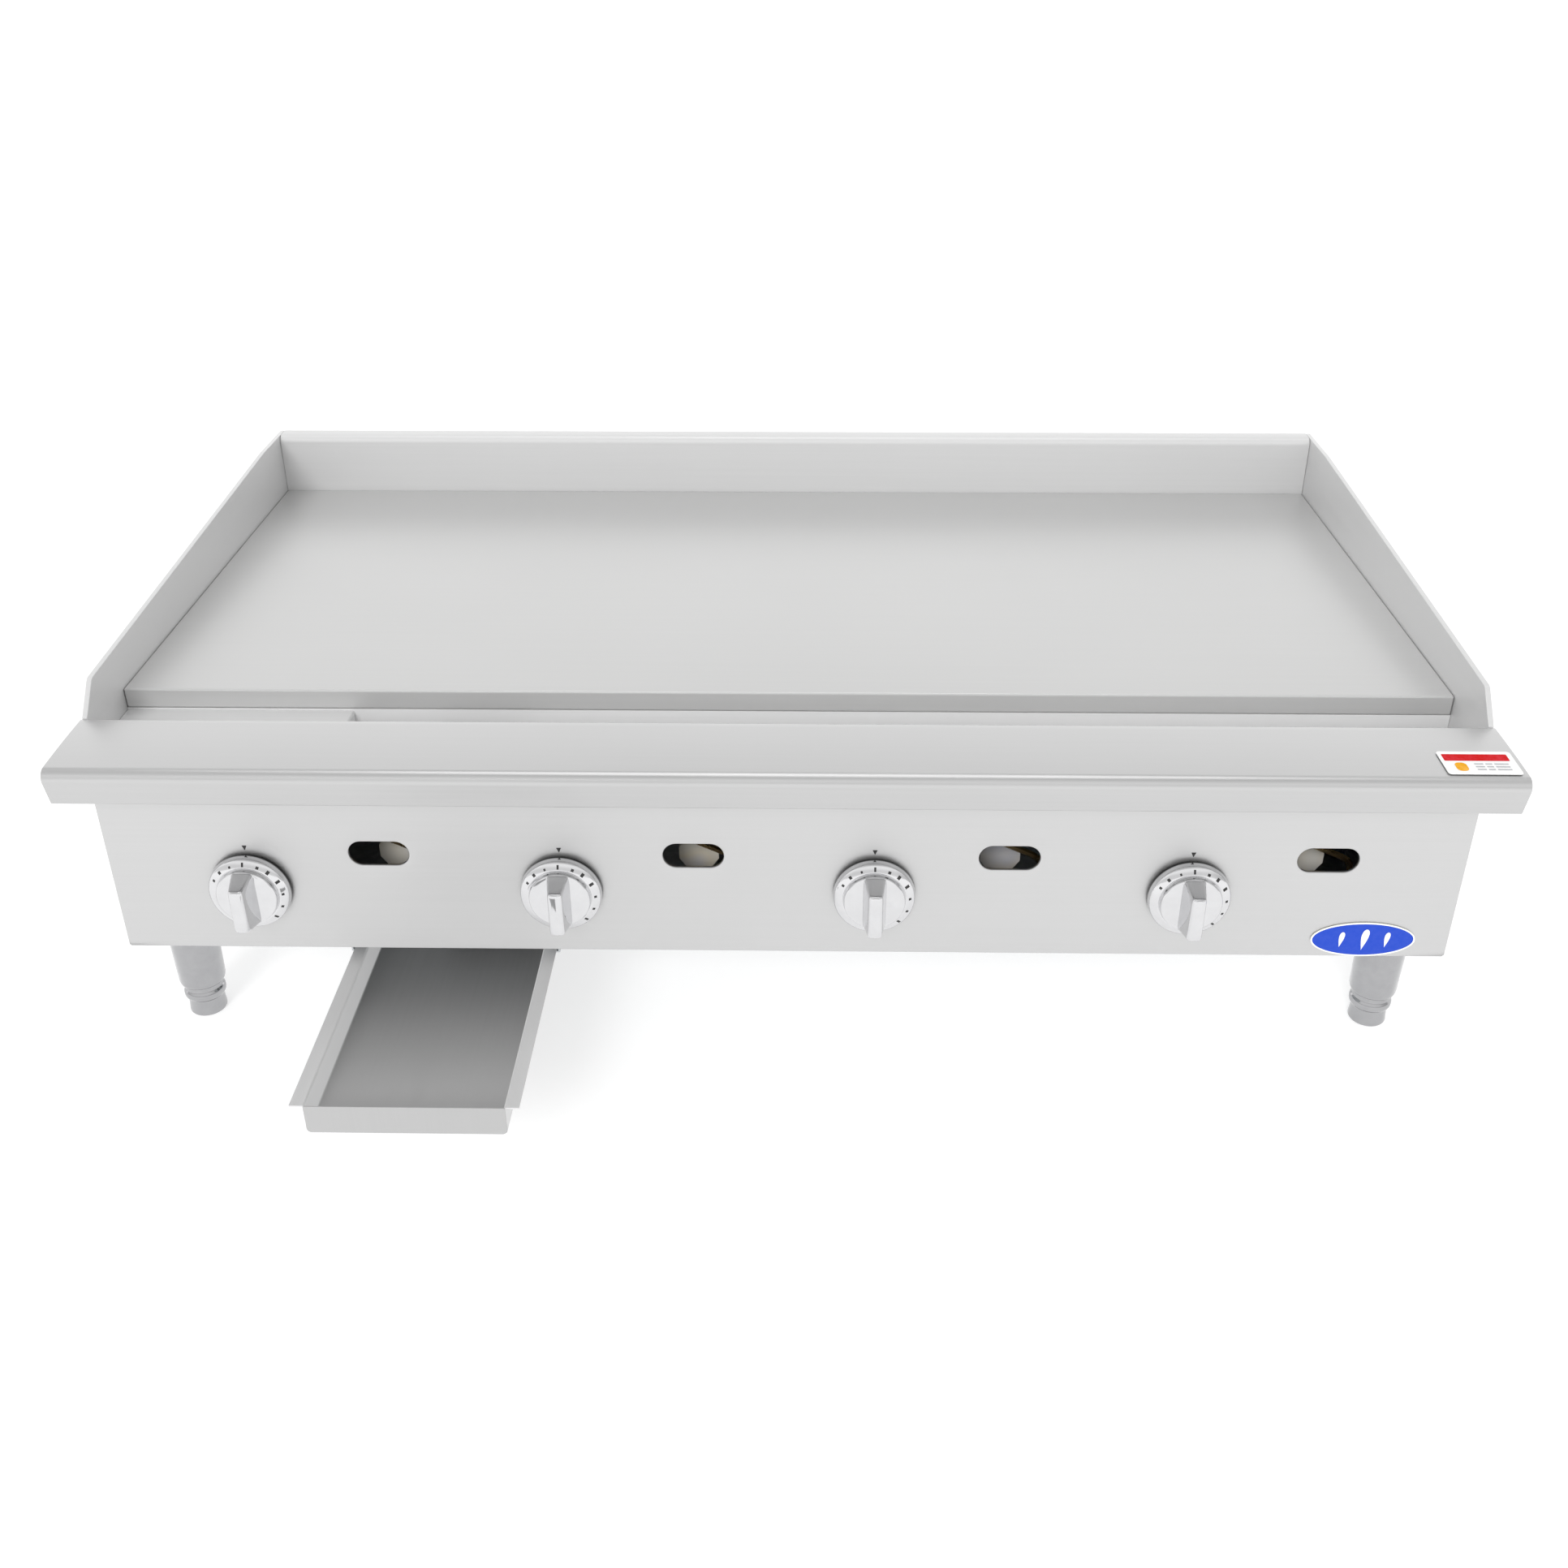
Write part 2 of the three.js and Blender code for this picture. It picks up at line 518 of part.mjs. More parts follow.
// ---- Grease drawer and its guides ----
const DRAWER_SHEET = 1.2;
const GUIDE_SHEET = 1.5;
const GUIDE_BACK = 446;
const drawerWall = DRAWER_INNER / 2 + DRAWER_SHEET;
const drawerEdge = DRAWER_INNER / 2 + DRAWER_FLANGE;
const drawerBottom = DRAWER_TOP - DRAWER_DEPTH;
const drawerBack = DRAWER_FRONT + DRAWER_LENGTH;
piece('grease_drawer', cut(
  join(
    box(-drawerWall, drawerWall, DRAWER_FRONT, drawerBack, drawerBottom, DRAWER_TOP),
    box(-drawerEdge, drawerEdge, DRAWER_FRONT + 2, drawerBack, DRAWER_TOP - DRAWER_SHEET, DRAWER_TOP),
  ),
  box(-DRAWER_INNER / 2, DRAWER_INNER / 2, DRAWER_FRONT + DRAWER_SHEET, drawerBack - DRAWER_SHEET,
    drawerBottom + DRAWER_SHEET, DRAWER_TOP + 1),
), stainless).position.x = DRAWER_CENTRE;

// A Z-shaped rail: its top flange is fixed under the pan, and the drawer's flange slides on its ledge.
function drawerGuide(side) {
  const web = side * (drawerEdge + 1.5);
  const ledge = side * (drawerWall + 1.5);
  const ledgeTop = DRAWER_TOP - DRAWER_SHEET - 0.5;
  const flange = side * (drawerEdge + 16);
  const shelf = CABINET_BOTTOM - GAP;
  const section = folded([[flange, shelf], [web, shelf], [web, ledgeTop], [ledge, ledgeTop]], side * GUIDE_SHEET);
  return alongY(section, PANEL_RETURN + GAP, GUIDE_BACK).translate(DRAWER_CENTRE, 0, 0);
}
piece('left_drawer_guide', drawerGuide(-1), galvanised);
piece('right_drawer_guide', drawerGuide(1), galvanised);

// ---- Legs: chrome sleeves bolted under the base pan, with feet that screw in and out ----
const LEG_TOP = CABINET_BOTTOM - GAP;
const FOOT_SHANK = 12;
const sleeveProfile = [
  [0, SLEEVE_BOTTOM + 50], [FOOT_SHANK + 0.5, SLEEVE_BOTTOM + 50], [FOOT_SHANK + 0.5, SLEEVE_BOTTOM],
  [20.5, SLEEVE_BOTTOM], [21.5, SLEEVE_BOTTOM + 3], [23.5, LEG_TOP - 12], [24.5, LEG_TOP - 3],
  [24.5, LEG_TOP], [0, LEG_TOP],
];
const footProfile = [
  [0, 0], [16, 0], [17.5, 2.5], [16.5, 17], [19.5, 20], [19.5, 25], [17, 28], [17, SLEEVE_BOTTOM - GAP],
  [FOOT_SHANK, SLEEVE_BOTTOM - GAP], [FOOT_SHANK, SLEEVE_BOTTOM + 48], [0, SLEEVE_BOTTOM + 48],
];
const corners = [[-LEG_X, LEG_FRONT], [LEG_X, LEG_FRONT], [-LEG_X, LEG_BACK], [LEG_X, LEG_BACK]];
corners.forEach(([x, y], i) => {
  piece(`leg_${i + 1}`, turnedUp(sleeveProfile), chrome).position.set(x, y, 0);
  piece(`foot_${i + 1}`, turnedUp(footProfile), chrome).position.set(x, y, 0);
});

// ---- Badge on the panel and label on the rail ----
const badgeShape = new THREE.Shape();
badgeShape.absellipse(514, 145.5, 46, 18, 0, 2 * Math.PI);
piece('badge', alongY(badgeShape, -1.5 - GAP, -GAP, 16), blueEnamel);
piece('rail_label', box(544, 605, -28, 8, RAIL_TOP + GAP, RAIL_TOP + GAP + 0.6), labelFilm);

griddle.position.y = -(DRAWER_FRONT + INLET_END) / 2;
export default griddle;
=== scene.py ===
"""Countertop gas griddle with a flat steel plate, in metres, +Z up, seen from the front and above."""
import math

import bmesh
import bpy
import numpy as np
from mathutils import Matrix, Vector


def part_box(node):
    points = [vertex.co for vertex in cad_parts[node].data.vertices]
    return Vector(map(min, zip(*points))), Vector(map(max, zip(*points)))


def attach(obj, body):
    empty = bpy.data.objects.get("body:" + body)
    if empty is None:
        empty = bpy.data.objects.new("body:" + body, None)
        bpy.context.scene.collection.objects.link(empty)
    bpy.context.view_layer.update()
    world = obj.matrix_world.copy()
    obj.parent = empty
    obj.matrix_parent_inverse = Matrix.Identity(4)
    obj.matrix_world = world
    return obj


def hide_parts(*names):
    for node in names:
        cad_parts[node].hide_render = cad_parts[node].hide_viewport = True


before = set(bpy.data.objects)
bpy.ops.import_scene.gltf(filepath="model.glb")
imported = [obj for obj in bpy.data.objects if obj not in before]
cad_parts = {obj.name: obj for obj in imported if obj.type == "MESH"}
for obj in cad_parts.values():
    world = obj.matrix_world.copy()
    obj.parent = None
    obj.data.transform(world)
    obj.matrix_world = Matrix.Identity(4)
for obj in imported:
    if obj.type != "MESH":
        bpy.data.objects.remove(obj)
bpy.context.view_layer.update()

# ---- Camera ----
# A standing cook's view of the whole front: a little to the right of the middle, about 1.2 m in front of
# the control panel, and looking down at the plate.
panel_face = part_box("control_panel")[0].y
EYE = (0.02481, panel_face - 1.17972, 0.98107)
TURN_LEFT, LOOK_DOWN, LEAN = 1.11, 30.0, -0.17
camera = bpy.data.objects.new("camera", bpy.data.cameras.new("camera"))
camera.data.sensor_width = 36.0
camera.data.lens = 37.08
camera.data.clip_start = 0.05
camera.data.clip_end = 60.0
camera.matrix_world = (
    Matrix.Translation(EYE)
    @ Matrix.Rotation(math.radians(TURN_LEFT), 4, "Z")
    @ Matrix.Rotation(math.radians(90.0 - LOOK_DOWN), 4, "X")
    @ Matrix.Rotation(math.radians(LEAN), 4, "Z")
)
bpy.context.scene.collection.objects.link(camera)
bpy.context.scene.camera = camera


# ---- Studio ----
# A white table in a white room. Steel shows only what it reflects, so the room is bright at eye level,
# darker overhead and a little darker on the right.
def node_material(name):
    """An empty node material and its tree: the caller adds the shader."""
    material = bpy.data.materials.new(name)
    material.use_nodes = True
    material.node_tree.nodes.clear()
    return material, material.node_tree


def add_node(tree, kind, **values):
    """Adds a node, setting properties by name, and inputs by their name where no property has it."""
    node = tree.nodes.new(kind)
    for key, value in values.items():
        if hasattr(node, key):
            setattr(node, key, value)
        else:
            node.inputs[key.replace("_", " ")].default_value = value
    return node


# the sockets of a Mix node: its share, its two numbers, its two colours and the mixed colour
MIX_SHARE, MIX_A, MIX_B = 0, 2, 3
MIX_COLOUR_A, MIX_COLOUR_B, MIX_COLOUR_OUT = 6, 7, 2


def place_along(tree, axis):
    """The place along one axis of the object, in metres, as a socket."""
    place = add_node(tree, "ShaderNodeTexCoord")
    split = add_node(tree, "ShaderNodeSeparateXYZ")
    tree.links.new(place.outputs["Object"], split.inputs[0])
    return split.outputs[axis]


def finish_shader(tree, shader):
    """Wires a shader to the material's output."""
    output = tree.nodes.new("ShaderNodeOutputMaterial")
    tree.links.new(shader.outputs[0], output.inputs["Surface"])


def set_ramp(ramp, stops):
    """Gives a colour ramp its stops, each a place and a grey level or a colour."""
    while len(ramp.elements) < len(stops):
        ramp.elements.new(0.5)
    for element, (place, level) in zip(ramp.elements, stops):
        element.position = place
        element.color = (*level, 1.0) if isinstance(level, tuple) else (level, level, level, 1.0)


bpy.context.scene.view_settings.view_transform = "Standard"
world = bpy.data.worlds.new("studio")
bpy.context.scene.world = world
world.use_nodes = True
sky = world.node_tree
sky.nodes.clear()
sky_place = add_node(sky, "ShaderNodeTexCoord")
sky_split = add_node(sky, "ShaderNodeSeparateXYZ")
sky_ramp = add_node(sky, "ShaderNodeValToRGB")
BACK_SKY_BY_HEIGHT = (
    (0.0, 1.45), (0.35, 1.42), (0.45, 1.34), (0.55, 1.14), (0.65, 0.86), (0.8, 0.58), (1.0, 0.48),
)
FRONT_SKY_BY_HEIGHT = (
    (0.0, 1.0), (0.05, 0.84), (0.2, 0.84), (0.36, 1.05), (0.58, 1.1), (0.76, 0.8), (1.0, 0.48),
)
set_ramp(sky_ramp.color_ramp, BACK_SKY_BY_HEIGHT)
front_ramp = add_node(sky, "ShaderNodeValToRGB")
set_ramp(front_ramp.color_ramp, FRONT_SKY_BY_HEIGHT)
to_front = add_node(sky, "ShaderNodeMapRange", interpolation_type="SMOOTHSTEP", From_Min=0.1, From_Max=-0.1)
sky_halves = add_node(sky, "ShaderNodeMix", data_type="RGBA")
shade_right = add_node(sky, "ShaderNodeMapRange", interpolation_type="SMOOTHSTEP", From_Min=0.5, From_Max=0.9,
                       To_Min=1.0, To_Max=0.8)
sky_level = add_node(sky, "ShaderNodeMix", data_type="RGBA", blend_type="MULTIPLY")
sky_level.inputs[MIX_SHARE].default_value = 1.0
sky_light = add_node(sky, "ShaderNodeBackground", Strength=1.0)
sky_out = add_node(sky, "ShaderNodeOutputWorld")
sky.links.new(sky_place.outputs["Generated"], sky_split.inputs[0])
sky.links.new(sky_split.outputs["Z"], sky_ramp.inputs[0])
sky.links.new(sky_split.outputs["X"], shade_right.inputs["Value"])
sky.links.new(sky_split.outputs["Z"], front_ramp.inputs[0])
sky.links.new(sky_split.outputs["Y"], to_front.inputs["Value"])
sky.links.new(to_front.outputs[0], sky_halves.inputs[MIX_SHARE])
sky.links.new(sky_ramp.outputs[0], sky_halves.inputs[MIX_COLOUR_A])
sky.links.new(front_ramp.outputs[0], sky_halves.inputs[MIX_COLOUR_B])
sky.links.new(sky_halves.outputs[MIX_COLOUR_OUT], sky_level.inputs[MIX_COLOUR_A])
sky.links.new(shade_right.outputs[0], sky_level.inputs[MIX_COLOUR_B])
sky.links.new(sky_level.outputs[MIX_COLOUR_OUT], sky_light.inputs["Color"])
sky.links.new(sky_light.outputs[0], sky_out.inputs[0])

# The table top glows, as a lit acrylic sheet does, so that it stays white under the cabinet, and a
# little more towards the front.
floor_material, floor_tree = node_material("table_acrylic")
floor_paint = add_node(floor_tree, "ShaderNodeBsdfDiffuse", Color=(0.5, 0.5, 0.5, 1.0))
floor_glow = add_node(floor_tree, "ShaderNodeEmission", Color=(1.0, 1.0, 1.0, 1.0))
floor_rise = add_node(floor_tree, "ShaderNodeMapRange", From_Min=-0.35, From_Max=-0.95,
                      To_Min=0.62, To_Max=0.68)
floor_tree.links.new(place_along(floor_tree, "Y"), floor_rise.inputs["Value"])
floor_tree.links.new(floor_rise.outputs[0], floor_glow.inputs["Strength"])
floor_sum = add_node(floor_tree, "ShaderNodeAddShader")
floor_tree.links.new(floor_paint.outputs[0], floor_sum.inputs[0])
floor_tree.links.new(floor_glow.outputs[0], floor_sum.inputs[1])
finish_shader(floor_tree, floor_sum)
floor_mesh = bpy.data.meshes.new("floor")
FLOOR_HALF = 25.0
floor_corners = [(x * FLOOR_HALF, y * FLOOR_HALF, 0.0) for x, y in ((-1, -1), (1, -1), (1, 1), (-1, 1))]
floor_mesh.from_pydata(floor_corners, [], [(0, 1, 2, 3)])
floor_mesh.materials.append(floor_material)
floor = bpy.data.objects.new("floor", floor_mesh)
bpy.context.scene.collection.objects.link(floor)


def broad_sun(name, towards, strength, spread, mirrored=False):
    """A wide soft light that shines evenly along a direction, its spread in degrees. mirrored lights are
    seen in reflections only; the others light surfaces, and are kept out of reflections."""
    light = bpy.data.objects.new(name, bpy.data.lights.new(name, "SUN"))
    light.data.energy = strength
    light.data.angle = math.radians(spread)
    aim = np.array(towards) / np.linalg.norm(towards)
    side = np.cross(aim, (0.0, 0.0, 1.0))
    side /= np.linalg.norm(side)
    up = np.cross(side, aim)
    light.matrix_world = Matrix([(*column, 0.0) for column in zip(side, up, -aim)] + [(0.0, 0.0, 0.0, 1.0)])
    light.visible_glossy = mirrored
    light.visible_diffuse = not mirrored
    bpy.context.scene.collection.objects.link(light)


broad_sun("key", (0.25, 1.0, -0.62), 1.6, 20.0)
# the bright line along the rail's round nose
broad_sun("nose_light", (0.0, -0.15, -1.0), 0.5, 36.0, mirrored=True)

# ---- Griddle plate ----
# One slab of 19 mm steel, ground flat and polished. Its edges are eased, and fine grinding marks run
# along its length. It lies inside the three splash guards with a dark hairline seam.
MM = 0.001


def smooth_below(mesh, degrees):
    """Shades smooth across bends flatter than the angle, and keeps sharper edges crisp."""
    mesh.polygons.foreach_set("use_smooth", np.ones(len(mesh.polygons), dtype=bool))
    mesh.set_sharp_from_angle(angle=math.radians(degrees))


def finished_piece(name, mesh, body, material, stands_for=(), bevel=0.0, sheet=0.0, smooth=34.0):
    """Turns a mesh into a piece on a body. bevel eases its sharp edges by that width; sheet gives an
    open surface that thickness behind it."""
    smooth_below(mesh, smooth)
    mesh.materials.append(material)
    made = bpy.data.objects.new(name, mesh)
    bpy.context.scene.collection.objects.link(made)
    if sheet:
        wall = made.modifiers.new("sheet", "SOLIDIFY")
        wall.thickness = sheet
        wall.offset = -1.0
        wall.use_even_offset = True
    if bevel:
        ease = made.modifiers.new("eased_edges", "BEVEL")
        ease.width = bevel
        ease.segments = 2
        ease.limit_method = "ANGLE"
        ease.angle_limit = math.radians(40.0)
        ease.harden_normals = True
    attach(made, body)
    if stands_for:
        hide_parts(*stands_for)
    return made


def surface(name, sheets, closed=True):
    """A mesh from sheets, each an array of points and an array or list of faces. Doubles are merged, and a
    closed form has its faces turned outwards."""
    mesh = bpy.data.meshes.new(name)
    points = np.concatenate([p for p, _ in sheets])
    faces = []
    start = 0
    for sheet_points, sheet_faces in sheets:
        faces += [[int(i) + start for i in face] for face in sheet_faces]
        start += len(sheet_points)
    mesh.from_pydata(points.tolist(), [], faces)
    shell = bmesh.new()
    shell.from_mesh(mesh)
    bmesh.ops.remove_doubles(shell, verts=shell.verts, dist=2e-6)
    if closed:
        bmesh.ops.recalc_face_normals(shell, faces=shell.faces)
    shell.to_mesh(mesh)
    shell.free()
    return mesh


def grid(points, around=False):
    """Quads over a (rows, columns, 3) array of points. around joins the last column to the first."""
    rows, columns = points.shape[:2]
    i, j = np.meshgrid(np.arange(rows - 1), np.arange(columns if around else columns - 1), indexing="ij")
    k = (j + 1) % columns
    row, after = i * columns, (i + 1) * columns
    faces = np.stack([row + j, row + k, after + k, after + j], axis=-1)
    return points.reshape(-1, 3), faces.reshape(-1, 4).tolist()


def rings(points):
    """A closed form from rings of points, an array (levels, points on a ring, 3), flat at both ends."""
    flat, faces = grid(points, around=True)
    count = points.shape[1]
    first = np.arange(count)
    return flat, [*faces, first[::-1].tolist(), (first + len(flat) - count).tolist()]


def along_x(section, low, high):
    """A closed (y, z) section in metres, carried straight from x = low to x = high."""
    section = np.asarray(section, dtype=float)
    return rings(np.stack([np.column_stack([np.full(len(section), x), section]) for x in (low, high)]))


def arc(centre, radius, start, stop, steps):
    """Points on a circle of that centre and radius, from start to stop degrees."""
    angle = np.radians(np.linspace(start, stop, steps + 1))
    return np.column_stack([centre[0] + radius * np.cos(angle), centre[1] + radius * np.sin(angle)])


def noise(tree, scale, detail, roughness):
    """A cloudy noise over the object, from 0 to 1, as a socket."""
    place = add_node(tree, "ShaderNodeTexCoord")
    cloud = add_node(tree, "ShaderNodeTexNoise", Scale=scale, Detail=detail, Roughness=roughness)
    tree.links.new(place.outputs["Object"], cloud.inputs["Vector"])
    return cloud.outputs["Fac"]


def mixed(tree, first, second, share):
    """Two sockets mixed into one, with this share of the second."""
    both = add_node(tree, "ShaderNodeMix", data_type="FLOAT")
    both.inputs[MIX_SHARE].default_value = share
    tree.links.new(first, both.inputs[MIX_A])
    tree.links.new(second, both.inputs[MIX_B])
    return both.outputs[0]


def vary_colour(tree, source, shader, stops):
    """Drives a shader's colour by a socket, through stops of a level and a colour."""
    tones = add_node(tree, "ShaderNodeValToRGB")
    set_ramp(tones.color_ramp, stops)
    tree.links.new(source, tones.inputs[0])
    tree.links.new(tones.outputs[0], shader.inputs["Base Color"])


def tone_stops(colour, spread, low, high):
    """Stops for vary_colour: darker by the spread at the low level, and lighter by it at the high one."""
    darker = tuple(max(c - spread, 0.0) for c in colour)
    lighter = tuple(min(c + spread, 1.0) for c in colour)
    return (low, darker), (high, lighter)


def vary_roughness(tree, source, shader, smooth, rough, low=0.0, high=1.0):
    """Drives a shader's roughness by a socket: smooth at its low level and rough at its high one."""
    scaled = add_node(tree, "ShaderNodeMapRange", From_Min=low, From_Max=high, To_Min=smooth, To_Max=rough)
    tree.links.new(source, scaled.inputs["Value"])
    tree.links.new(scaled.outputs[0], shader.inputs["Roughness"])


def relief(tree, source, shader, strength, depth):
    """Dents a shader's surface by a socket, depth in metres."""
    bump = add_node(tree, "ShaderNodeBump", Strength=strength, Distance=depth)
    tree.links.new(source, bump.inputs["Height"])
    tree.links.new(bump.outputs[0], shader.inputs["Normal"])


def brushed(name, colour, roughness, grain, streak=0.02, tone=0.02, metallic=1.0):
    """Brushed steel: a noise stretched along the grain gives the hairlines, in roughness, colour and bump,
    and a broad soft noise gives the slow change of tone that rolled sheet has. grain is the noise scale
    along x, y and z: small along the brushing, large across it."""
    material, tree = node_material(name)
    place = add_node(tree, "ShaderNodeTexCoord")
    stretch = add_node(tree, "ShaderNodeMapping", Scale=grain)
    tree.links.new(place.outputs["Object"], stretch.inputs["Vector"])
    hair_noise = add_node(tree, "ShaderNodeTexNoise", Scale=1.0, Detail=6.0, Roughness=0.65)
    tree.links.new(stretch.outputs[0], hair_noise.inputs["Vector"])
    hair = hair_noise.outputs["Fac"]
    shader = add_node(tree, "ShaderNodeBsdfPrincipled", Metallic=metallic)
    tones = mixed(tree, hair, noise(tree, 3.0, 2.0, 0.5), 0.4)
    vary_colour(tree, tones, shader, tone_stops(colour, tone, 0.3, 0.7))
    vary_roughness(tree, hair, shader, roughness * 0.85, roughness * 1.15, 0.3, 0.7)
    relief(tree, hair, shader, streak, 0.0005)
    finish_shader(tree, shader)
    return material


ground_steel = brushed("ground_plate", (0.59, 0.59, 0.587), 0.36, (3.0, 240.0, 240.0), streak=0.03,
                       metallic=0.55)
low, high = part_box("griddle_plate")
PLATE_EASE = 2.0 * MM
plate_section = np.concatenate([
    [(low.y, low.z), (high.y, low.z), (high.y, high.z)],
    arc((low.y + PLATE_EASE, high.z - PLATE_EASE), PLATE_EASE, 90, 180, 6),
])
finished_piece("griddle_plate_ground",
               surface("griddle_plate_ground", [along_x(plate_section, low.x, high.x)]),
               "cabinet", ground_steel, ["griddle_plate"], bevel=PLATE_EASE)

# ---- Side splash guards ----
# Flat 4.8 mm plates welded up both ends of the griddle. Each is level at the back, slopes down to the
# front, and has its corners rounded off with a file.
side_steel = brushed("stainless_side", (0.68, 0.68, 0.68), 0.45, (320.0, 4.0, 320.0), metallic=0.45)


def rounded(points, radius, steps=6):
    """A closed outline with each corner replaced by a tangent arc: the arc's centre lies on the corner's
    bisector. radius is one number, or one for each corner."""
    points = np.asarray(points, dtype=float)
    out = []
    for i, r in enumerate(np.broadcast_to(radius, len(points))):
        corner = points[i]
        back = points[i - 1] - corner
        ahead = points[(i + 1) % len(points)] - corner
        back /= np.linalg.norm(back)
        ahead /= np.linalg.norm(ahead)
        if r == 0:
            out.append(corner[None])
            continue
        half = math.acos(np.clip(back @ ahead, -1.0, 1.0)) / 2
        bisector = (back + ahead) / np.linalg.norm(back + ahead)
        centre = corner + bisector * r / math.sin(half)
        sweep = (math.pi / 2 - half) * np.linspace(-1.0, 1.0, steps + 1)
        turn = 1.0 if back[0] * ahead[1] - back[1] * ahead[0] < 0 else -1.0
        base = math.atan2(-bisector[1], -bisector[0])
        out.append(centre + r * np.column_stack([np.cos(base + turn * sweep), np.sin(base + turn * sweep)]))
    return np.concatenate(out)


rail_low, rail_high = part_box("front_rail")
SPLASH_LEVEL = 86 * MM          # length of the level top, from the back
SPLASH_NOSE = 25.2 * MM         # how far the sloping front edge leans back
SPLASH_FALL = 29 * MM           # how much lower the front corner is than the back
for side in ("left", "right"):
    low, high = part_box(f"{side}_side_splash")
    outline = rounded([
        (low.y, low.z), (high.y, low.z), (high.y, high.z), (high.y - SPLASH_LEVEL, high.z),
        (low.y + SPLASH_NOSE, high.z - SPLASH_FALL), (low.y, rail_high.z),
    ], (0.0, 0.0, 5 * MM, 40 * MM, 9 * MM, 0.0))
    finished_piece(f"{side}_splash_plate", surface(f"{side}_splash_plate", [along_x(outline, low.x, high.x)]),
                   "cabinet", side_steel, [f"{side}_side_splash"], bevel=0.8 * MM)

# ---- Back splash ----
# A 3 mm sheet that stands behind the plate, rolled over at the top into a level flange with a short
# lip at the back. It is welded between the two side guards.


def folded(points, thickness):
    """The closed section of a folded sheet: its first face follows the points, and the second lies to
    their left by the thickness, mitred at each bend."""
    points = np.asarray(points, dtype=float)
    run = np.diff(points, axis=0)
    run /= np.linalg.norm(run, axis=1)[:, None]
    normal = np.column_stack([-run[:, 1], run[:, 0]])
    before = np.concatenate([normal[:1], normal])
    after = np.concatenate([normal, normal[-1:]])
    mitre = before + after
    mitre /= np.linalg.norm(mitre, axis=1)[:, None]
    reach = thickness / np.sum(mitre * before, axis=1)
    return np.concatenate([points, (points + mitre * reach[:, None])[::-1]])


low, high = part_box("back_splash")
BACK_BEND = 8 * MM
BACK_LIP = 14 * MM
BACK_SHEET = 3 * MM
guard_steel = brushed("stainless_back", (0.67, 0.67, 0.67), 0.45, (4.0, 320.0, 320.0), metallic=0.4)
back_line = np.concatenate([
    [(low.y, low.z)],
    arc((low.y + BACK_BEND, high.z - BACK_BEND), BACK_BEND, 180, 90, 8),
    arc((high.y - BACK_SHEET - MM, high.z - BACK_SHEET - MM), BACK_SHEET + MM, 90, 0, 6),
    [(high.y, high.z - BACK_LIP)],
])
finished_piece("back_splash_sheet",
               surface("back_splash_sheet", [along_x(folded(back_line, -BACK_SHEET), low.x, high.x)]),
               "cabinet", guard_steel, ["back_splash"], bevel=0.5 * MM)

# ---- Grease gutter ----
# A folded trough across the front of the plate, with a raised ledge at its left end and a drain hole
# whose chute drops into the drawer.


def along_y(section, low, high):
    """A closed (x, z) section in metres, carried straight from y = low to y = high."""
    section = np.asarray(section, dtype=float)
    ends = [np.column_stack([section[:, 0], np.full(len(section), y), section[:, 1]]) for y in (low, high)]
    return rings(np.stack(ends))


gutter_steel = brushed("stainless_gutter", (0.74, 0.74, 0.74), 0.5, (6.0, 280.0, 280.0), metallic=0.25)
low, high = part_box("grease_gutter")
chute_low, chute_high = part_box("drain_chute")
GUTTER_SHEET = 1.5 * MM
GUTTER_BEND = 3 * MM
GUTTER_REST = 14 * MM           # the flange that lies under the plate
CHUTE_COLLAR = 4 * MM
flange_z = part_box("griddle_plate")[0].z - 0.3 * MM
back_wall = high.y - GUTTER_REST
gutter_line = np.concatenate([
    [(low.y, high.z)],
    arc((low.y + GUTTER_BEND, low.z + GUTTER_BEND), GUTTER_BEND, 180, 270, 5),
    arc((back_wall - GUTTER_BEND, low.z + GUTTER_BEND), GUTTER_BEND, 270, 360, 5),
    [(back_wall, flange_z - GUTTER_SHEET), (high.y, flange_z - GUTTER_SHEET)],
])
hole_x = (chute_low.x + CHUTE_COLLAR, chute_high.x - CHUTE_COLLAR)
hole_y = (chute_low.y + CHUTE_COLLAR, chute_high.y - CHUTE_COLLAR)
section = folded(gutter_line, GUTTER_SHEET)


def half_section(front, cut_y):
    """The part of the trough's section in front of, or behind, a cut across its floor at cut_y."""
    line = gutter_line[gutter_line[:, 0] < cut_y] if front else gutter_line[gutter_line[:, 0] > cut_y]
    cut = [(cut_y, low.z)]
    return folded(np.concatenate([line, cut] if front else [cut, line]), GUTTER_SHEET)


finished_piece("gutter_trough", surface("gutter_trough", [
    along_x(section, low.x, hole_x[0]),
    along_x(half_section(True, hole_y[0]), hole_x[0], hole_x[1]),
    along_x(half_section(False, hole_y[1]), hole_x[0], hole_x[1]),
    along_x(section, hole_x[1], high.x),
]), "cabinet", gutter_steel, ["grease_gutter"])

low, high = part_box("gutter_ledge")
LEDGE_BEND = 2.5 * MM
ledge_line = np.concatenate([
    [(low.x, high.z)],
    arc((high.x - LEDGE_BEND, high.z - LEDGE_BEND), LEDGE_BEND, 90, 0, 5),
    [(high.x, low.z)],
])
finished_piece("gutter_ledge_step",
               surface("gutter_ledge_step", [along_y(folded(ledge_line, -GUTTER_SHEET), low.y, high.y)]),
               "cabinet", gutter_steel, ["gutter_ledge"], bevel=0.4 * MM)

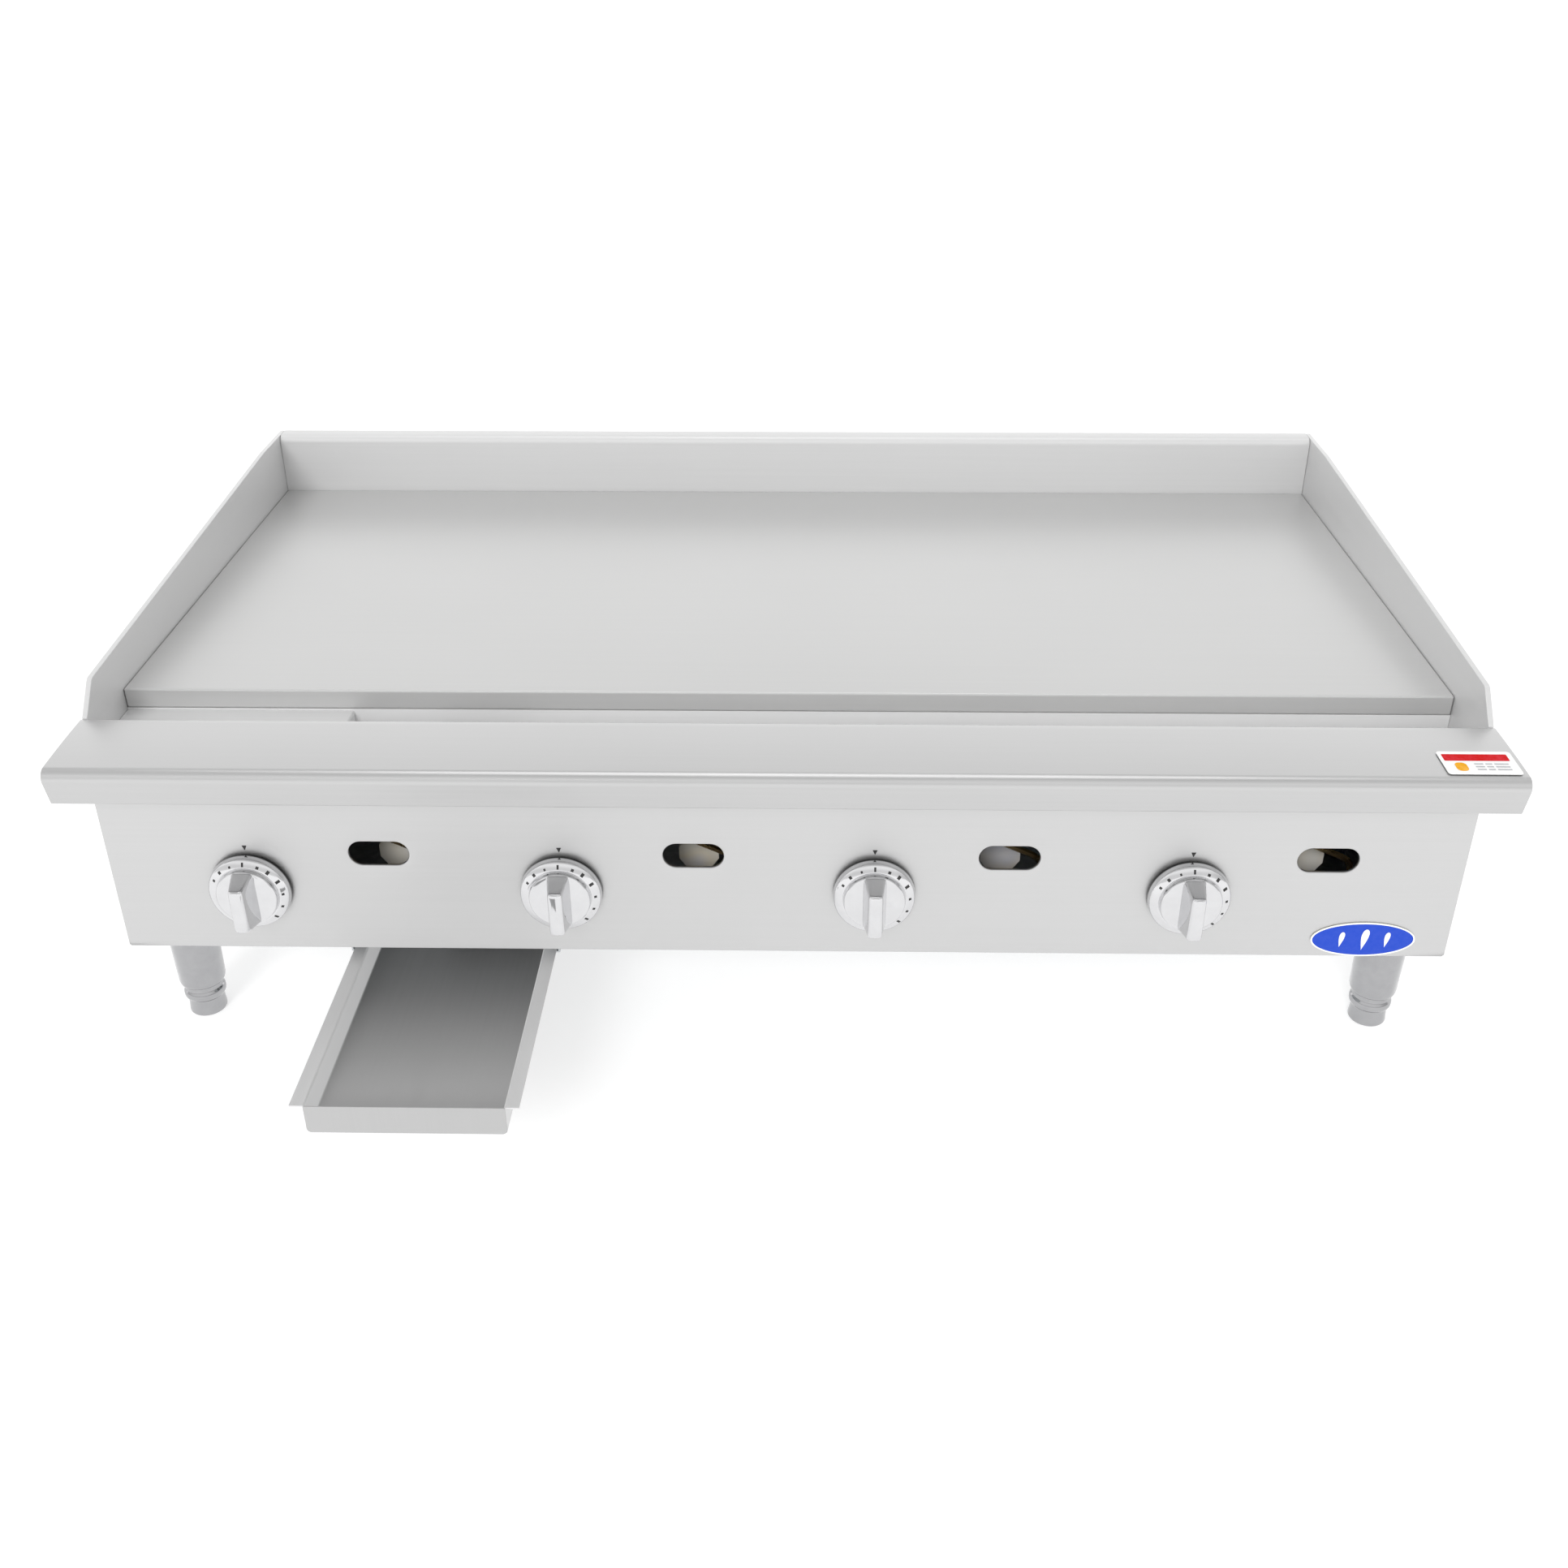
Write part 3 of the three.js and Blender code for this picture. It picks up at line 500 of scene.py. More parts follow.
# ---- Front rail ----
# A folded sheet with a slightly crowned top and a round nose, closed at both ends with plates that are
# welded in and ground flush.
sheet_steel = brushed("stainless_lengthwise", (0.56, 0.56, 0.56), 0.34, (4.0, 320.0, 320.0), metallic=0.85)
RAIL_SHEET = 1.5 * MM
RAIL_NOSE = 9 * MM
RAIL_CORNER = 3 * MM
RAIL_CROWN = 2 * MM             # fall of the top from its back edge to the nose
RAIL_LEAN = 6 * MM              # how far the front face leans back at its foot
RAIL_FOOT_BEND = 2 * MM
RAIL_BACK_RISE = 6.3 * MM       # how far above its foot the rail's back edge ends
RAIL_CLEAR = 0.5 * MM           # between the foot's back edge and the control panel
low, high = rail_low, rail_high
nose_y = low.y + RAIL_NOSE
flat_y = high.y - RAIL_CORNER


def rail_top(y):
    """Height of the crowned rail top: it falls with the square of the way forward."""
    forward = np.clip((flat_y - y) / (flat_y - nose_y), 0.0, 1.0)
    return high.z - RAIL_CROWN * forward ** 2


crown_y = np.linspace(flat_y, nose_y, 17)
rail_line = np.concatenate([
    [(high.y, low.z + RAIL_BACK_RISE)],
    arc((flat_y, high.z - RAIL_CORNER), RAIL_CORNER, 0, 90, 5)[:-1],
    np.column_stack([crown_y, rail_top(crown_y)])[:-1],
    arc((nose_y, high.z - RAIL_CROWN - RAIL_NOSE), RAIL_NOSE, 90, 190, 16),
    arc((low.y + RAIL_LEAN + RAIL_FOOT_BEND, low.z + RAIL_FOOT_BEND), RAIL_FOOT_BEND, 190, 270, 5),
    [(panel_face - RAIL_CLEAR, low.z)],
])
rail_cap = np.concatenate([rail_line, [(rail_line[-1, 0], rail_line[0, 1])]])
finished_piece("rail_sheet", surface("rail_sheet", [
    along_x(folded(rail_line, RAIL_SHEET), low.x + RAIL_SHEET, high.x - RAIL_SHEET),
    along_x(rail_cap, low.x, low.x + RAIL_SHEET),
    along_x(rail_cap, high.x - RAIL_SHEET, high.x),
]), "cabinet", sheet_steel, ["front_rail"], bevel=0.4 * MM)

# ---- Control panel ----
# A 1.2 mm sheet across the front with its sides and foot turned in, four bores for the valve stems and
# four sight slots with rolled edges. A small black wedge is printed above each knob.
panel_steel = brushed("stainless_panel", (0.6, 0.6, 0.6), 0.4, (4.0, 320.0, 320.0), metallic=0.85)
low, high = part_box("control_panel")
PANEL_SHEET = 1.2 * MM
PANEL_BEND = 2 * MM
BORE_RADIUS = 6.5 * MM
SLOT_RADIUS = 12 * MM
SLOT_REACH = 14.5 * MM          # from the slot's middle to the middle of each round end
SLOT_FROM_KNOB = 116.5 * MM
SLOT_Z = 227 * MM
KNOB_MARGIN = 60 * MM
SLOT_MARGIN = SLOT_FROM_KNOB - KNOB_MARGIN
BORE_LIP, SLOT_LIP = 0.3 * MM, 1.2 * MM
STEPS_UP, STEPS_ACROSS = 36, 16
# a hole's edge from inside the panel to its face, in lips: the growth of the hole, and the depth
LIP_SECTION = ((0.0, 2.4), (0.0, 1.0), (0.13, 0.5), (0.5, 0.13), (1.0, 0.0))
knob_x = [sum(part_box(f"knob_{n}")[i].x for i in (0, 1)) / 2 for n in (1, 2, 3, 4)]
knob_z = sum(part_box("valve_stem_1")[i].z for i in (0, 1)) / 2
face_foot = low.z + PANEL_BEND
levels_z = np.linspace(face_foot, high.z, STEPS_UP + 1)


def slot_edge(direction, reach, radius):
    """Distance from a slot's middle to its edge along each unit direction: the flat side where the ray
    meets it, else the round end. A reach of 0 gives a round hole."""
    across, up = np.abs(direction[:, 0]), np.maximum(np.abs(direction[:, 1]), 1e-9)
    flat = radius / up
    end = reach * across + np.sqrt(np.maximum(radius ** 2 - (reach * up) ** 2, 0.0))
    return np.where(flat * across <= reach, flat, end)


def holed_tile(x0, x1, centre, reach, radius, lip):
    """A rectangle of the panel with one hole: loops of points run from the hole's rolled edge out to the
    rectangle's four sides, which share their points with the tiles beside it."""
    across = np.linspace(x0, x1, STEPS_ACROSS + 1)
    outer = np.concatenate([
        np.column_stack([across[:-1], np.full(STEPS_ACROSS, face_foot)]),
        np.column_stack([np.full(STEPS_UP, x1), levels_z[:-1]]),
        np.column_stack([across[:0:-1], np.full(STEPS_ACROSS, high.z)]),
        np.column_stack([np.full(STEPS_UP, x0), levels_z[:0:-1]]),
    ])
    direction = outer - centre
    direction /= np.linalg.norm(direction, axis=1)[:, None]
    loops = []
    for grow, depth in LIP_SECTION:
        edge = centre + direction * slot_edge(direction, reach, radius + grow * lip)[:, None]
        loops.append(np.column_stack([edge[:, 0], np.full(len(edge), low.y + depth * lip), edge[:, 1]]))
    face_edge = loops[-1]
    outer = np.column_stack([outer[:, 0], np.full(len(outer), low.y), outer[:, 1]])
    loops += [face_edge + (outer - face_edge) * t for t in (0.25, 0.6, 1.0)]
    return grid(np.stack(loops)[::-1], around=True)


def panel_strip(x, y, z):
    """A strip of the panel between rows of points given as arrays of x, y and z that fit together."""
    return grid(np.stack(np.broadcast_arrays(x, y, z), axis=-1).astype(float))


panel_sheets = []
foot_x = []
edges = [low.x + PANEL_BEND]
for x in knob_x:
    left, middle, right = x - KNOB_MARGIN, x + KNOB_MARGIN, x + SLOT_FROM_KNOB + SLOT_MARGIN
    edges += [left, middle, right]
    panel_sheets.append(holed_tile(left, middle, (x, knob_z), 0.0, BORE_RADIUS, BORE_LIP))
    panel_sheets.append(holed_tile(middle, right, (x + SLOT_FROM_KNOB, SLOT_Z), SLOT_REACH, SLOT_RADIUS,
                                   SLOT_LIP))
    foot_x += [np.linspace(left, middle, STEPS_ACROSS + 1), np.linspace(middle, right, STEPS_ACROSS + 1)]
edges.append(high.x - PANEL_BEND)
for x0, x1 in zip(edges[0::3], edges[1::3]):
    panel_sheets.append(panel_strip(np.array([[x0, x1]]), low.y, levels_z[:, None]))
foot_x = np.unique(np.round(np.concatenate([[edges[0], edges[-1]], *foot_x]), 9))
bend = np.concatenate([arc((PANEL_BEND, PANEL_BEND), PANEL_BEND, 180, 270, 5), [(high.y - low.y, 0.0)]])
panel_sheets.append(panel_strip(foot_x[None], low.y + bend[::-1, :1], low.z + bend[::-1, 1:]))
# the side returns: the same bend laid on its side
panel_sheets.append(panel_strip(low.x + bend[::-1, 1][None], low.y + bend[::-1, 0][None], levels_z[:, None]))
panel_sheets.append(panel_strip(high.x - bend[:, 1][None], low.y + bend[:, 0][None], levels_z[:, None]))
finished_piece("control_panel_sheet", surface("control_panel_sheet", panel_sheets, closed=False),
               "cabinet", panel_steel, ["control_panel"], sheet=PANEL_SHEET)


def enamel(name, colour, roughness, speck=0.02, coat=0.0, shine=0.5):
    """Paint, print or enamel: one colour with a faint mottling, and a clear coat where it is glossy. shine
    is 0.5 for a plain varnish, and less for a duller ink."""
    material, tree = node_material(name)
    cloud = noise(tree, 180.0, 3.0, 0.6)
    shader = add_node(tree, "ShaderNodeBsdfPrincipled", Roughness=roughness, Coat_Weight=coat,
                      Specular_IOR_Level=shine)
    vary_colour(tree, cloud, shader, tone_stops(colour, speck, 0.35, 0.65))
    relief(tree, cloud, shader, 0.05, 0.0001)
    finish_shader(tree, shader)
    return material


black_print = enamel("black_print", (0.02, 0.02, 0.02), 0.45, speck=0.006)
WEDGE_HALF, WEDGE_TALL, WEDGE_CORNER = 2.2 * MM, 5.0 * MM, 0.3 * MM
PRINT_OUT, PRINT_IN = 0.12 * MM, 0.01 * MM       # faces of the print, in front of the panel
WEDGE_Z = 229.5 * MM
wedges = [along_y(rounded([(x - WEDGE_HALF, WEDGE_Z + WEDGE_TALL), (x, WEDGE_Z),
                           (x + WEDGE_HALF, WEDGE_Z + WEDGE_TALL)], WEDGE_CORNER, 3),
                  panel_face - PRINT_OUT, panel_face - PRINT_IN) for x in knob_x]
finished_piece("pointer_wedges", surface("pointer_wedges", wedges), "cabinet", black_print)

# ---- Cabinet sides, back and base pan ----
# Bent sheet bolted together under the plate: brushed stainless at the sides, plain galvanised sheet
# with its frosty zinc spangle at the back and underneath.


def zinc(name, colour, roughness):
    """Galvanised sheet: cells of zinc crystal, each a little lighter or darker, with a dull sheen."""
    material, tree = node_material(name)
    place = add_node(tree, "ShaderNodeTexCoord")
    cells = add_node(tree, "ShaderNodeTexVoronoi", Scale=120.0, Randomness=1.0)
    tree.links.new(place.outputs["Object"], cells.inputs["Vector"])
    grey = add_node(tree, "ShaderNodeSeparateColor")
    tree.links.new(cells.outputs["Color"], grey.inputs[0])
    spangle = mixed(tree, grey.outputs[0], noise(tree, 14.0, 4.0, 0.6), 0.5)
    shader = add_node(tree, "ShaderNodeBsdfPrincipled", Metallic=1.0)
    vary_colour(tree, spangle, shader, tone_stops(colour, 0.06, 0.2, 0.8))
    vary_roughness(tree, spangle, shader, roughness - 0.08, roughness + 0.08)
    finish_shader(tree, shader)
    return material


def dress(material, *nodes):
    """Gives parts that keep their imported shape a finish."""
    for node in nodes:
        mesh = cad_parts[node].data
        mesh.materials.clear()
        mesh.materials.append(material)


galvanised = zinc("galvanised", (0.56, 0.58, 0.59), 0.42)
dress(side_steel, "left_side_panel", "right_side_panel")
dress(galvanised, "back_panel", "base_pan", "left_drawer_guide", "right_drawer_guide")
dress(gutter_steel, "drain_chute")

# ---- Burners and gas train ----
# U-shaped tubes of aluminised steel with rows of ports, tinted straw and blue where they run hot, on two
# galvanised cross angles. A steel manifold feeds brass valves, and thin brass tubes feed the pilots.


def heat_tinted(name, colour, roughness):
    """Aluminised tube: a dull grey coat with patches of straw and blue where it has been hot."""
    material, tree = node_material(name)
    shader = add_node(tree, "ShaderNodeBsdfPrincipled", Metallic=0.15)
    vary_colour(tree, noise(tree, 9.0, 3.0, 0.55), shader, (
        (0.35, colour),
        (0.55, (colour[0] * 0.98, colour[1] * 0.9, colour[2] * 0.76)),
        (0.68, (colour[0] * 0.72, colour[1] * 0.74, colour[2] * 0.86)),
    ))
    vary_roughness(tree, noise(tree, 260.0, 3.0, 0.6), shader, roughness - 0.08, roughness + 0.08)
    finish_shader(tree, shader)
    return material


aluminised = heat_tinted("aluminised", (0.9, 0.9, 0.88), 0.4)
brass = brushed("turned_brass", (0.76, 0.56, 0.28), 0.28, (60.0, 60.0, 60.0), tone=0.05)
pipe_steel = zinc("galvanised_pipe", (0.5, 0.51, 0.52), 0.45)
dress(pipe_steel, "gas_manifold", "gas_inlet")
dress(galvanised, "front_burner_support", "rear_burner_support")
for n in (1, 2, 3, 4):
    dress(aluminised, f"burner_{n}")
    dress(galvanised, f"air_shutter_{n}")
    dress(brass, f"gas_valve_{n}", f"pilot_{n}")

# ---- Knobs ----
# Die-cast and chromed: a skirt whose sloping ring carries the dial marks, a raised disc, and a tapered
# bar to grip. Each is pushed on to its valve stem.


def bright_chrome(name, colour, roughness):
    """Chrome plate: a near mirror, with a breath of unevenness in its polish and its casting."""
    material, tree = node_material(name)
    wipe = noise(tree, 70.0, 4.0, 0.6)
    shader = add_node(tree, "ShaderNodeBsdfPrincipled", Metallic=1.0)
    vary_colour(tree, wipe, shader, tone_stops(colour, 0.02, 0.3, 0.7))
    vary_roughness(tree, wipe, shader, roughness * 0.6, roughness * 1.4, 0.3, 0.7)
    relief(tree, wipe, shader, 0.04, 0.0003)
    finish_shader(tree, shader)
    return material


def tone_down(tree, level):
    """Multiplies a shader's colour by a level between 0 and 1, given as a socket."""
    shader = next(node for node in tree.nodes if node.type == "BSDF_PRINCIPLED")
    colour = shader.inputs["Base Color"]
    darker = add_node(tree, "ShaderNodeMix", data_type="RGBA", blend_type="MULTIPLY")
    darker.inputs[MIX_SHARE].default_value = 1.0
    tree.links.new(colour.links[0].from_socket, darker.inputs[MIX_COLOUR_A])
    tree.links.new(level, darker.inputs[MIX_COLOUR_B])
    tree.links.new(darker.outputs[MIX_COLOUR_OUT], colour)


def painted_contact_shadow(tree, bright_y, dark_y):
    """Paints a contact shadow on a casting: darkens it from bright_y to dark_y, next to the panel, so that
    its foot reads as a dark gap.
    """
    depth = add_node(tree, "ShaderNodeMapRange", From_Min=bright_y, From_Max=dark_y, To_Min=1.0, To_Max=0.04)
    tree.links.new(place_along(tree, "Y"), depth.inputs["Value"])
    tone_down(tree, depth.outputs[0])


chrome = bright_chrome("chrome", (0.7, 0.7, 0.71), 0.07)
# The knobs' chrome carries a painted contact shadow: it darkens over the last millimetres in front of the
# panel.
knob_chrome_painted_shadow = bright_chrome("knob_chrome_painted_shadow", (0.7, 0.7, 0.71), 0.07)
SKIRT_SHADOW_START, SKIRT_SHADOW_FULL = 5.5 * MM, 4.0 * MM    # in front of the panel
painted_contact_shadow(knob_chrome_painted_shadow.node_tree, panel_face - SKIRT_SHADOW_START, panel_face - SKIRT_SHADOW_FULL)

# Each level of the knob, in millimetres: half-width, half-length, distance in front of the panel, and
# squareness, where 2 is round and larger numbers are boxier.
BORE = 4.45
KNOB_LEVELS = np.array([
    (BORE, BORE, 24.4, 2), (BORE, BORE, 1.0, 2), (34.4, 34.4, 1.0, 2), (35.3, 35.3, 1.3, 2),
    (35.9, 35.9, 2.0, 2), (36.0, 36.0, 3.0, 2), (35.7, 35.7, 7.8, 2), (35.3, 35.3, 9.2, 2),
    (34.6, 34.6, 10.3, 2), (33.6, 33.6, 11.0, 2), (28.9, 28.9, 13.3, 2), (28.2, 28.2, 13.4, 2),
    (27.7, 27.7, 13.2, 2), (27.3, 27.3, 13.2, 2), (27.0, 27.0, 13.6, 2), (26.7, 26.7, 15.8, 2),
    (26.6, 26.6, 16.6, 2), (26.3, 26.3, 17.1, 2), (26.0, 26.0, 17.3, 2), (25.9, 25.9, 17.4, 2),
    (10.6, 25.8, 17.6, 8), (10.0, 25.6, 17.9, 9), (9.7, 25.4, 18.6, 9), (9.5, 25.1, 20.0, 9),
    (8.0, 23.0, 30.0, 9), (6.6, 21.6, 37.4, 9), (6.2, 21.3, 38.9, 8), (5.5, 20.8, 40.1, 7),
    (4.4, 20.0, 40.8, 6), (2.8, 18.8, 41.0, 5),
])
RING_POINTS = 160


def oblong(half_width, half_length, squareness):
    """A ring in x and z: width times |cos| and length times |sin| of the angle, each raised to two over
    the squareness, so that 2 gives an ellipse and more gives a rounded bar."""
    angle = np.linspace(0.0, 2 * math.pi, RING_POINTS, endpoint=False)
    power = 2.0 / squareness
    return np.column_stack([
        half_width * np.sign(np.cos(angle)) * np.abs(np.cos(angle)) ** power,
        half_length * np.sign(np.sin(angle)) * np.abs(np.sin(angle)) ** power,
    ])


def knob_form(x, z):
    """The knob's levels as rings about its axis, carried forward from the panel."""
    loops = []
    for half_width, half_length, out, squareness in KNOB_LEVELS:
        ring = oblong(half_width, half_length, squareness) * MM
        face = np.full(len(ring), panel_face - out * MM)
        loops.append(np.column_stack([x + ring[:, 0], face, z + ring[:, 1]]))
    return rings(np.stack(loops))


# Dial marks: the angle from the right-hand side in degrees, then the inner and outer radius and the
# half-width in millimetres.
DIAL_MARKS = ((152, 30.0, 32.2, 1.1), (133, 29.8, 32.4, 1.3), (112, 29.9, 31.8, 0.9), (90, 29.5, 33.1, 0.9),
              (66, 29.8, 32.0, 1.3), (48, 29.6, 32.8, 1.4), (26, 29.5, 33.2, 1.3), (2, 30.0, 32.2, 1.1),
              (-22, 30.0, 32.2, 1.1), (-46, 29.5, 33.1, 1.0))
RING_IN, RING_OUT = KNOB_LEVELS[10], KNOB_LEVELS[9]


def dial_mark(x, z, degrees, inner, outer, half):
    """A stroke of paint on the sloping ring: its corners lie on the ring's cone, just proud of it."""
    slope = (RING_IN[2] - RING_OUT[2]) / (RING_OUT[0] - RING_IN[0])
    along = np.array([inner, outer, outer, inner])
    aside = np.array([-half, -half, half, half])
    turn = math.radians(degrees)
    height = RING_IN[2] - (np.hypot(along, aside) - RING_IN[0]) * slope
    loops = []
    for proud in (0.03, 0.14):
        loops.append(np.column_stack([
            x + (along * math.cos(turn) - aside * math.sin(turn)) * MM,
            panel_face - (height + proud) * MM,
            z + (along * math.sin(turn) + aside * math.cos(turn)) * MM,
        ]))
    return rings(np.stack(loops))


for n, x in zip((1, 2, 3, 4), knob_x):
    finished_piece(f"knob_{n}_casting", surface(f"knob_{n}_casting", [knob_form(x, knob_z)]),
                   f"knob_{n}", knob_chrome_painted_shadow, [f"knob_{n}"], smooth=30.0)
    marks = surface(f"knob_{n}_marks", [dial_mark(x, knob_z, *mark) for mark in DIAL_MARKS])
    finished_piece(f"knob_{n}_marks", marks, f"knob_{n}", black_print)
    dress(chrome, f"valve_stem_{n}")

# ---- Grease drawer ----
# A shallow tray of folded stainless with side flanges that slide in the guides, and end plates whose
# lower corners are rounded. Its floor is darker than its walls, and more so at the rear.


def darken_floor_and_rear(tree, floor_z, wall_z, light_y, dark_y):
    """Darkens a steel below wall_z, fully at floor_z: to 0.7 of its colour at light_y, falling to 0.28 of
    it at dark_y."""
    back = add_node(tree, "ShaderNodeMapRange", interpolation_type="SMOOTHSTEP", From_Min=light_y,
                    From_Max=dark_y, To_Min=0.7, To_Max=0.28)
    tree.links.new(place_along(tree, "Y"), back.inputs["Value"])
    up = add_node(tree, "ShaderNodeMapRange", From_Min=floor_z, From_Max=wall_z)
    tree.links.new(place_along(tree, "Z"), up.inputs["Value"])
    level = add_node(tree, "ShaderNodeMix", data_type="FLOAT")
    tree.links.new(up.outputs[0], level.inputs[MIX_SHARE])
    tree.links.new(back.outputs[0], level.inputs[MIX_A])
    level.inputs[MIX_B].default_value = 1.0
    tone_down(tree, level.outputs[0])


low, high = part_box("grease_drawer")
DRAWER_SHEET = 1.2 * MM
DRAWER_BEND = 3 * MM
DRAWER_FLANGE = 12.5 * MM
FLOOR_DARK_FULL, FLOOR_DARK_NONE = 1.4 * MM, 3.4 * MM      # heights above the drawer's underside
FLOOR_DARK_RUN = 0.24                # from the front to where the floor is darkest
wall_low, wall_high = low.x + DRAWER_FLANGE - DRAWER_SHEET, high.x - DRAWER_FLANGE + DRAWER_SHEET
tray_line = np.concatenate([
    [(low.x, high.z - DRAWER_SHEET)],
    arc((wall_low - MM, high.z - DRAWER_SHEET - MM), MM, 90, 0, 4),
    arc((wall_low + DRAWER_BEND, low.z + DRAWER_BEND), DRAWER_BEND, 180, 270, 6),
    arc((wall_high - DRAWER_BEND, low.z + DRAWER_BEND), DRAWER_BEND, 270, 360, 6),
    arc((wall_high + MM, high.z - DRAWER_SHEET - MM), MM, 180, 90, 4),
    [(high.x, high.z - DRAWER_SHEET)],
])
tray_front, tray_back = low.y + DRAWER_SHEET, high.y - DRAWER_SHEET
tray_steel = brushed("stainless_tray", (0.72, 0.72, 0.72), 0.5, (280.0, 5.0, 280.0), metallic=0.6)
drawer_steel = brushed("stainless_drawer", (0.52, 0.52, 0.52), 0.4, (280.0, 280.0, 5.0), metallic=0.85)
# The tray's steel is darker towards its floor, and more so towards the rear.
darken_floor_and_rear(tray_steel.node_tree, low.z + FLOOR_DARK_FULL, low.z + FLOOR_DARK_NONE, tray_front, tray_front + FLOOR_DARK_RUN)
end_plate = rounded([(wall_low, low.z), (wall_high, low.z), (wall_high, high.z), (wall_low, high.z)],
                    (4 * MM, 4 * MM, 1 * MM, 1 * MM))
tray = finished_piece("drawer_tray", surface("drawer_tray", [
    along_y(folded(tray_line, DRAWER_SHEET), tray_front, tray_back),
]), "drawer", tray_steel, ["grease_drawer"])
# kept out of reflections, so that it casts no smudge on the control panel
tray.visible_glossy = False
finished_piece("drawer_end_plates", surface("drawer_end_plates", [
    along_y(end_plate, low.y, tray_front),
    along_y(end_plate, tray_back, high.y),
]), "drawer", drawer_steel, ["grease_drawer"], bevel=0.4 * MM)

# ---- Legs and feet ----
# Turned steel, chromed: a tapered sleeve bolted under each corner of the pan, and a foot with a
# gripping ring that screws in and out of it to level the griddle.


def turned(profile, x, y, sides=72):
    """A closed form from (radius, height) pairs in millimetres, turned about a vertical axis."""
    profile = np.asarray(profile, dtype=float) * MM
    angle = np.linspace(0.0, 2 * math.pi, sides, endpoint=False)
    spun = np.stack([
        x + profile[:, :1] * np.cos(angle),
        y + profile[:, :1] * np.sin(angle),
        np.repeat(profile[:, 1:], sides, axis=1),
    ], axis=-1)
    return rings(spun)


leg_chrome = bright_chrome("satin_chrome", (0.42, 0.42, 0.43), 0.1)
LEG_TOP, SLEEVE_FOOT, BORE_TOP, SHANK = 125.7, 34.0, 84.0, 12.0
sleeve = [
    (SHANK + 0.5, BORE_TOP), (SHANK + 0.5, SLEEVE_FOOT + 0.6), (SHANK + 1.1, SLEEVE_FOOT),
    (19.6, SLEEVE_FOOT), (20.4, SLEEVE_FOOT + 0.5), (20.9, SLEEVE_FOOT + 1.6), (21.5, SLEEVE_FOOT + 4),
    (23.5, LEG_TOP - 13),
    (24.0, LEG_TOP - 9), (24.4, LEG_TOP - 4), (24.5, LEG_TOP - 1), (24.3, LEG_TOP), (6.0, LEG_TOP),
]
foot = [
    (6.0, 0.0), (15.4, 0.0), (16.6, 0.5), (17.3, 1.6), (17.5, 2.8), (17.2, 6.0), (16.6, 15.0), (16.7, 16.6),
    (17.4, 17.8), (18.7, 19.0), (19.4, 20.6), (19.5, 22.5), (19.4, 24.4), (18.7, 26.0), (17.6, 27.1),
    (17.1, 28.4), (17.0, 33.0), (16.5, 33.6), (SHANK, 33.7), (SHANK, 81.6), (SHANK - 0.6, 82.0), (3.0, 82.0),
]
for n in (1, 2, 3, 4):
    low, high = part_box(f"leg_{n}")
    x, y = (low.x + high.x) / 2, (low.y + high.y) / 2
    finished_piece(f"leg_{n}_sleeve", surface(f"leg_{n}_sleeve", [turned(sleeve, x, y)]),
                   "cabinet", leg_chrome, [f"leg_{n}"])
    finished_piece(f"foot_{n}_turned", surface(f"foot_{n}_turned", [turned(foot, x, y)]),
                   f"foot_{n}", leg_chrome, [f"foot_{n}"])

# ---- Badge ----
# A pressed oval plate of blue enamel with a cream rim, glued to the panel's lower right corner. It
# carries a plain row of three flames.
cream = enamel("cream_enamel", (0.86, 0.86, 0.8), 0.3, coat=0.4)
blue = enamel("blue_enamel", (0.014, 0.06, 0.48), 0.5, speck=0.004, shine=0.3)
low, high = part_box("badge")
badge_x, badge_z = (low.x + high.x) / 2, (low.z + high.z) / 2
badge_a, badge_b = (high.x - low.x) / 2, (high.z - low.z) / 2


def oval(levels, count=96):
    """A closed oval form: each level is an inset from the badge's edge and a height above its back."""
    angle = np.linspace(0.0, 2 * math.pi, count, endpoint=False)
    loops = [np.column_stack([
        badge_x + (badge_a - inset * MM) * np.cos(angle),
        np.full(count, high.y - height * MM),
        badge_z + (badge_b - inset * MM) * np.sin(angle),
    ]) for inset, height in levels]
    return rings(np.stack(loops))


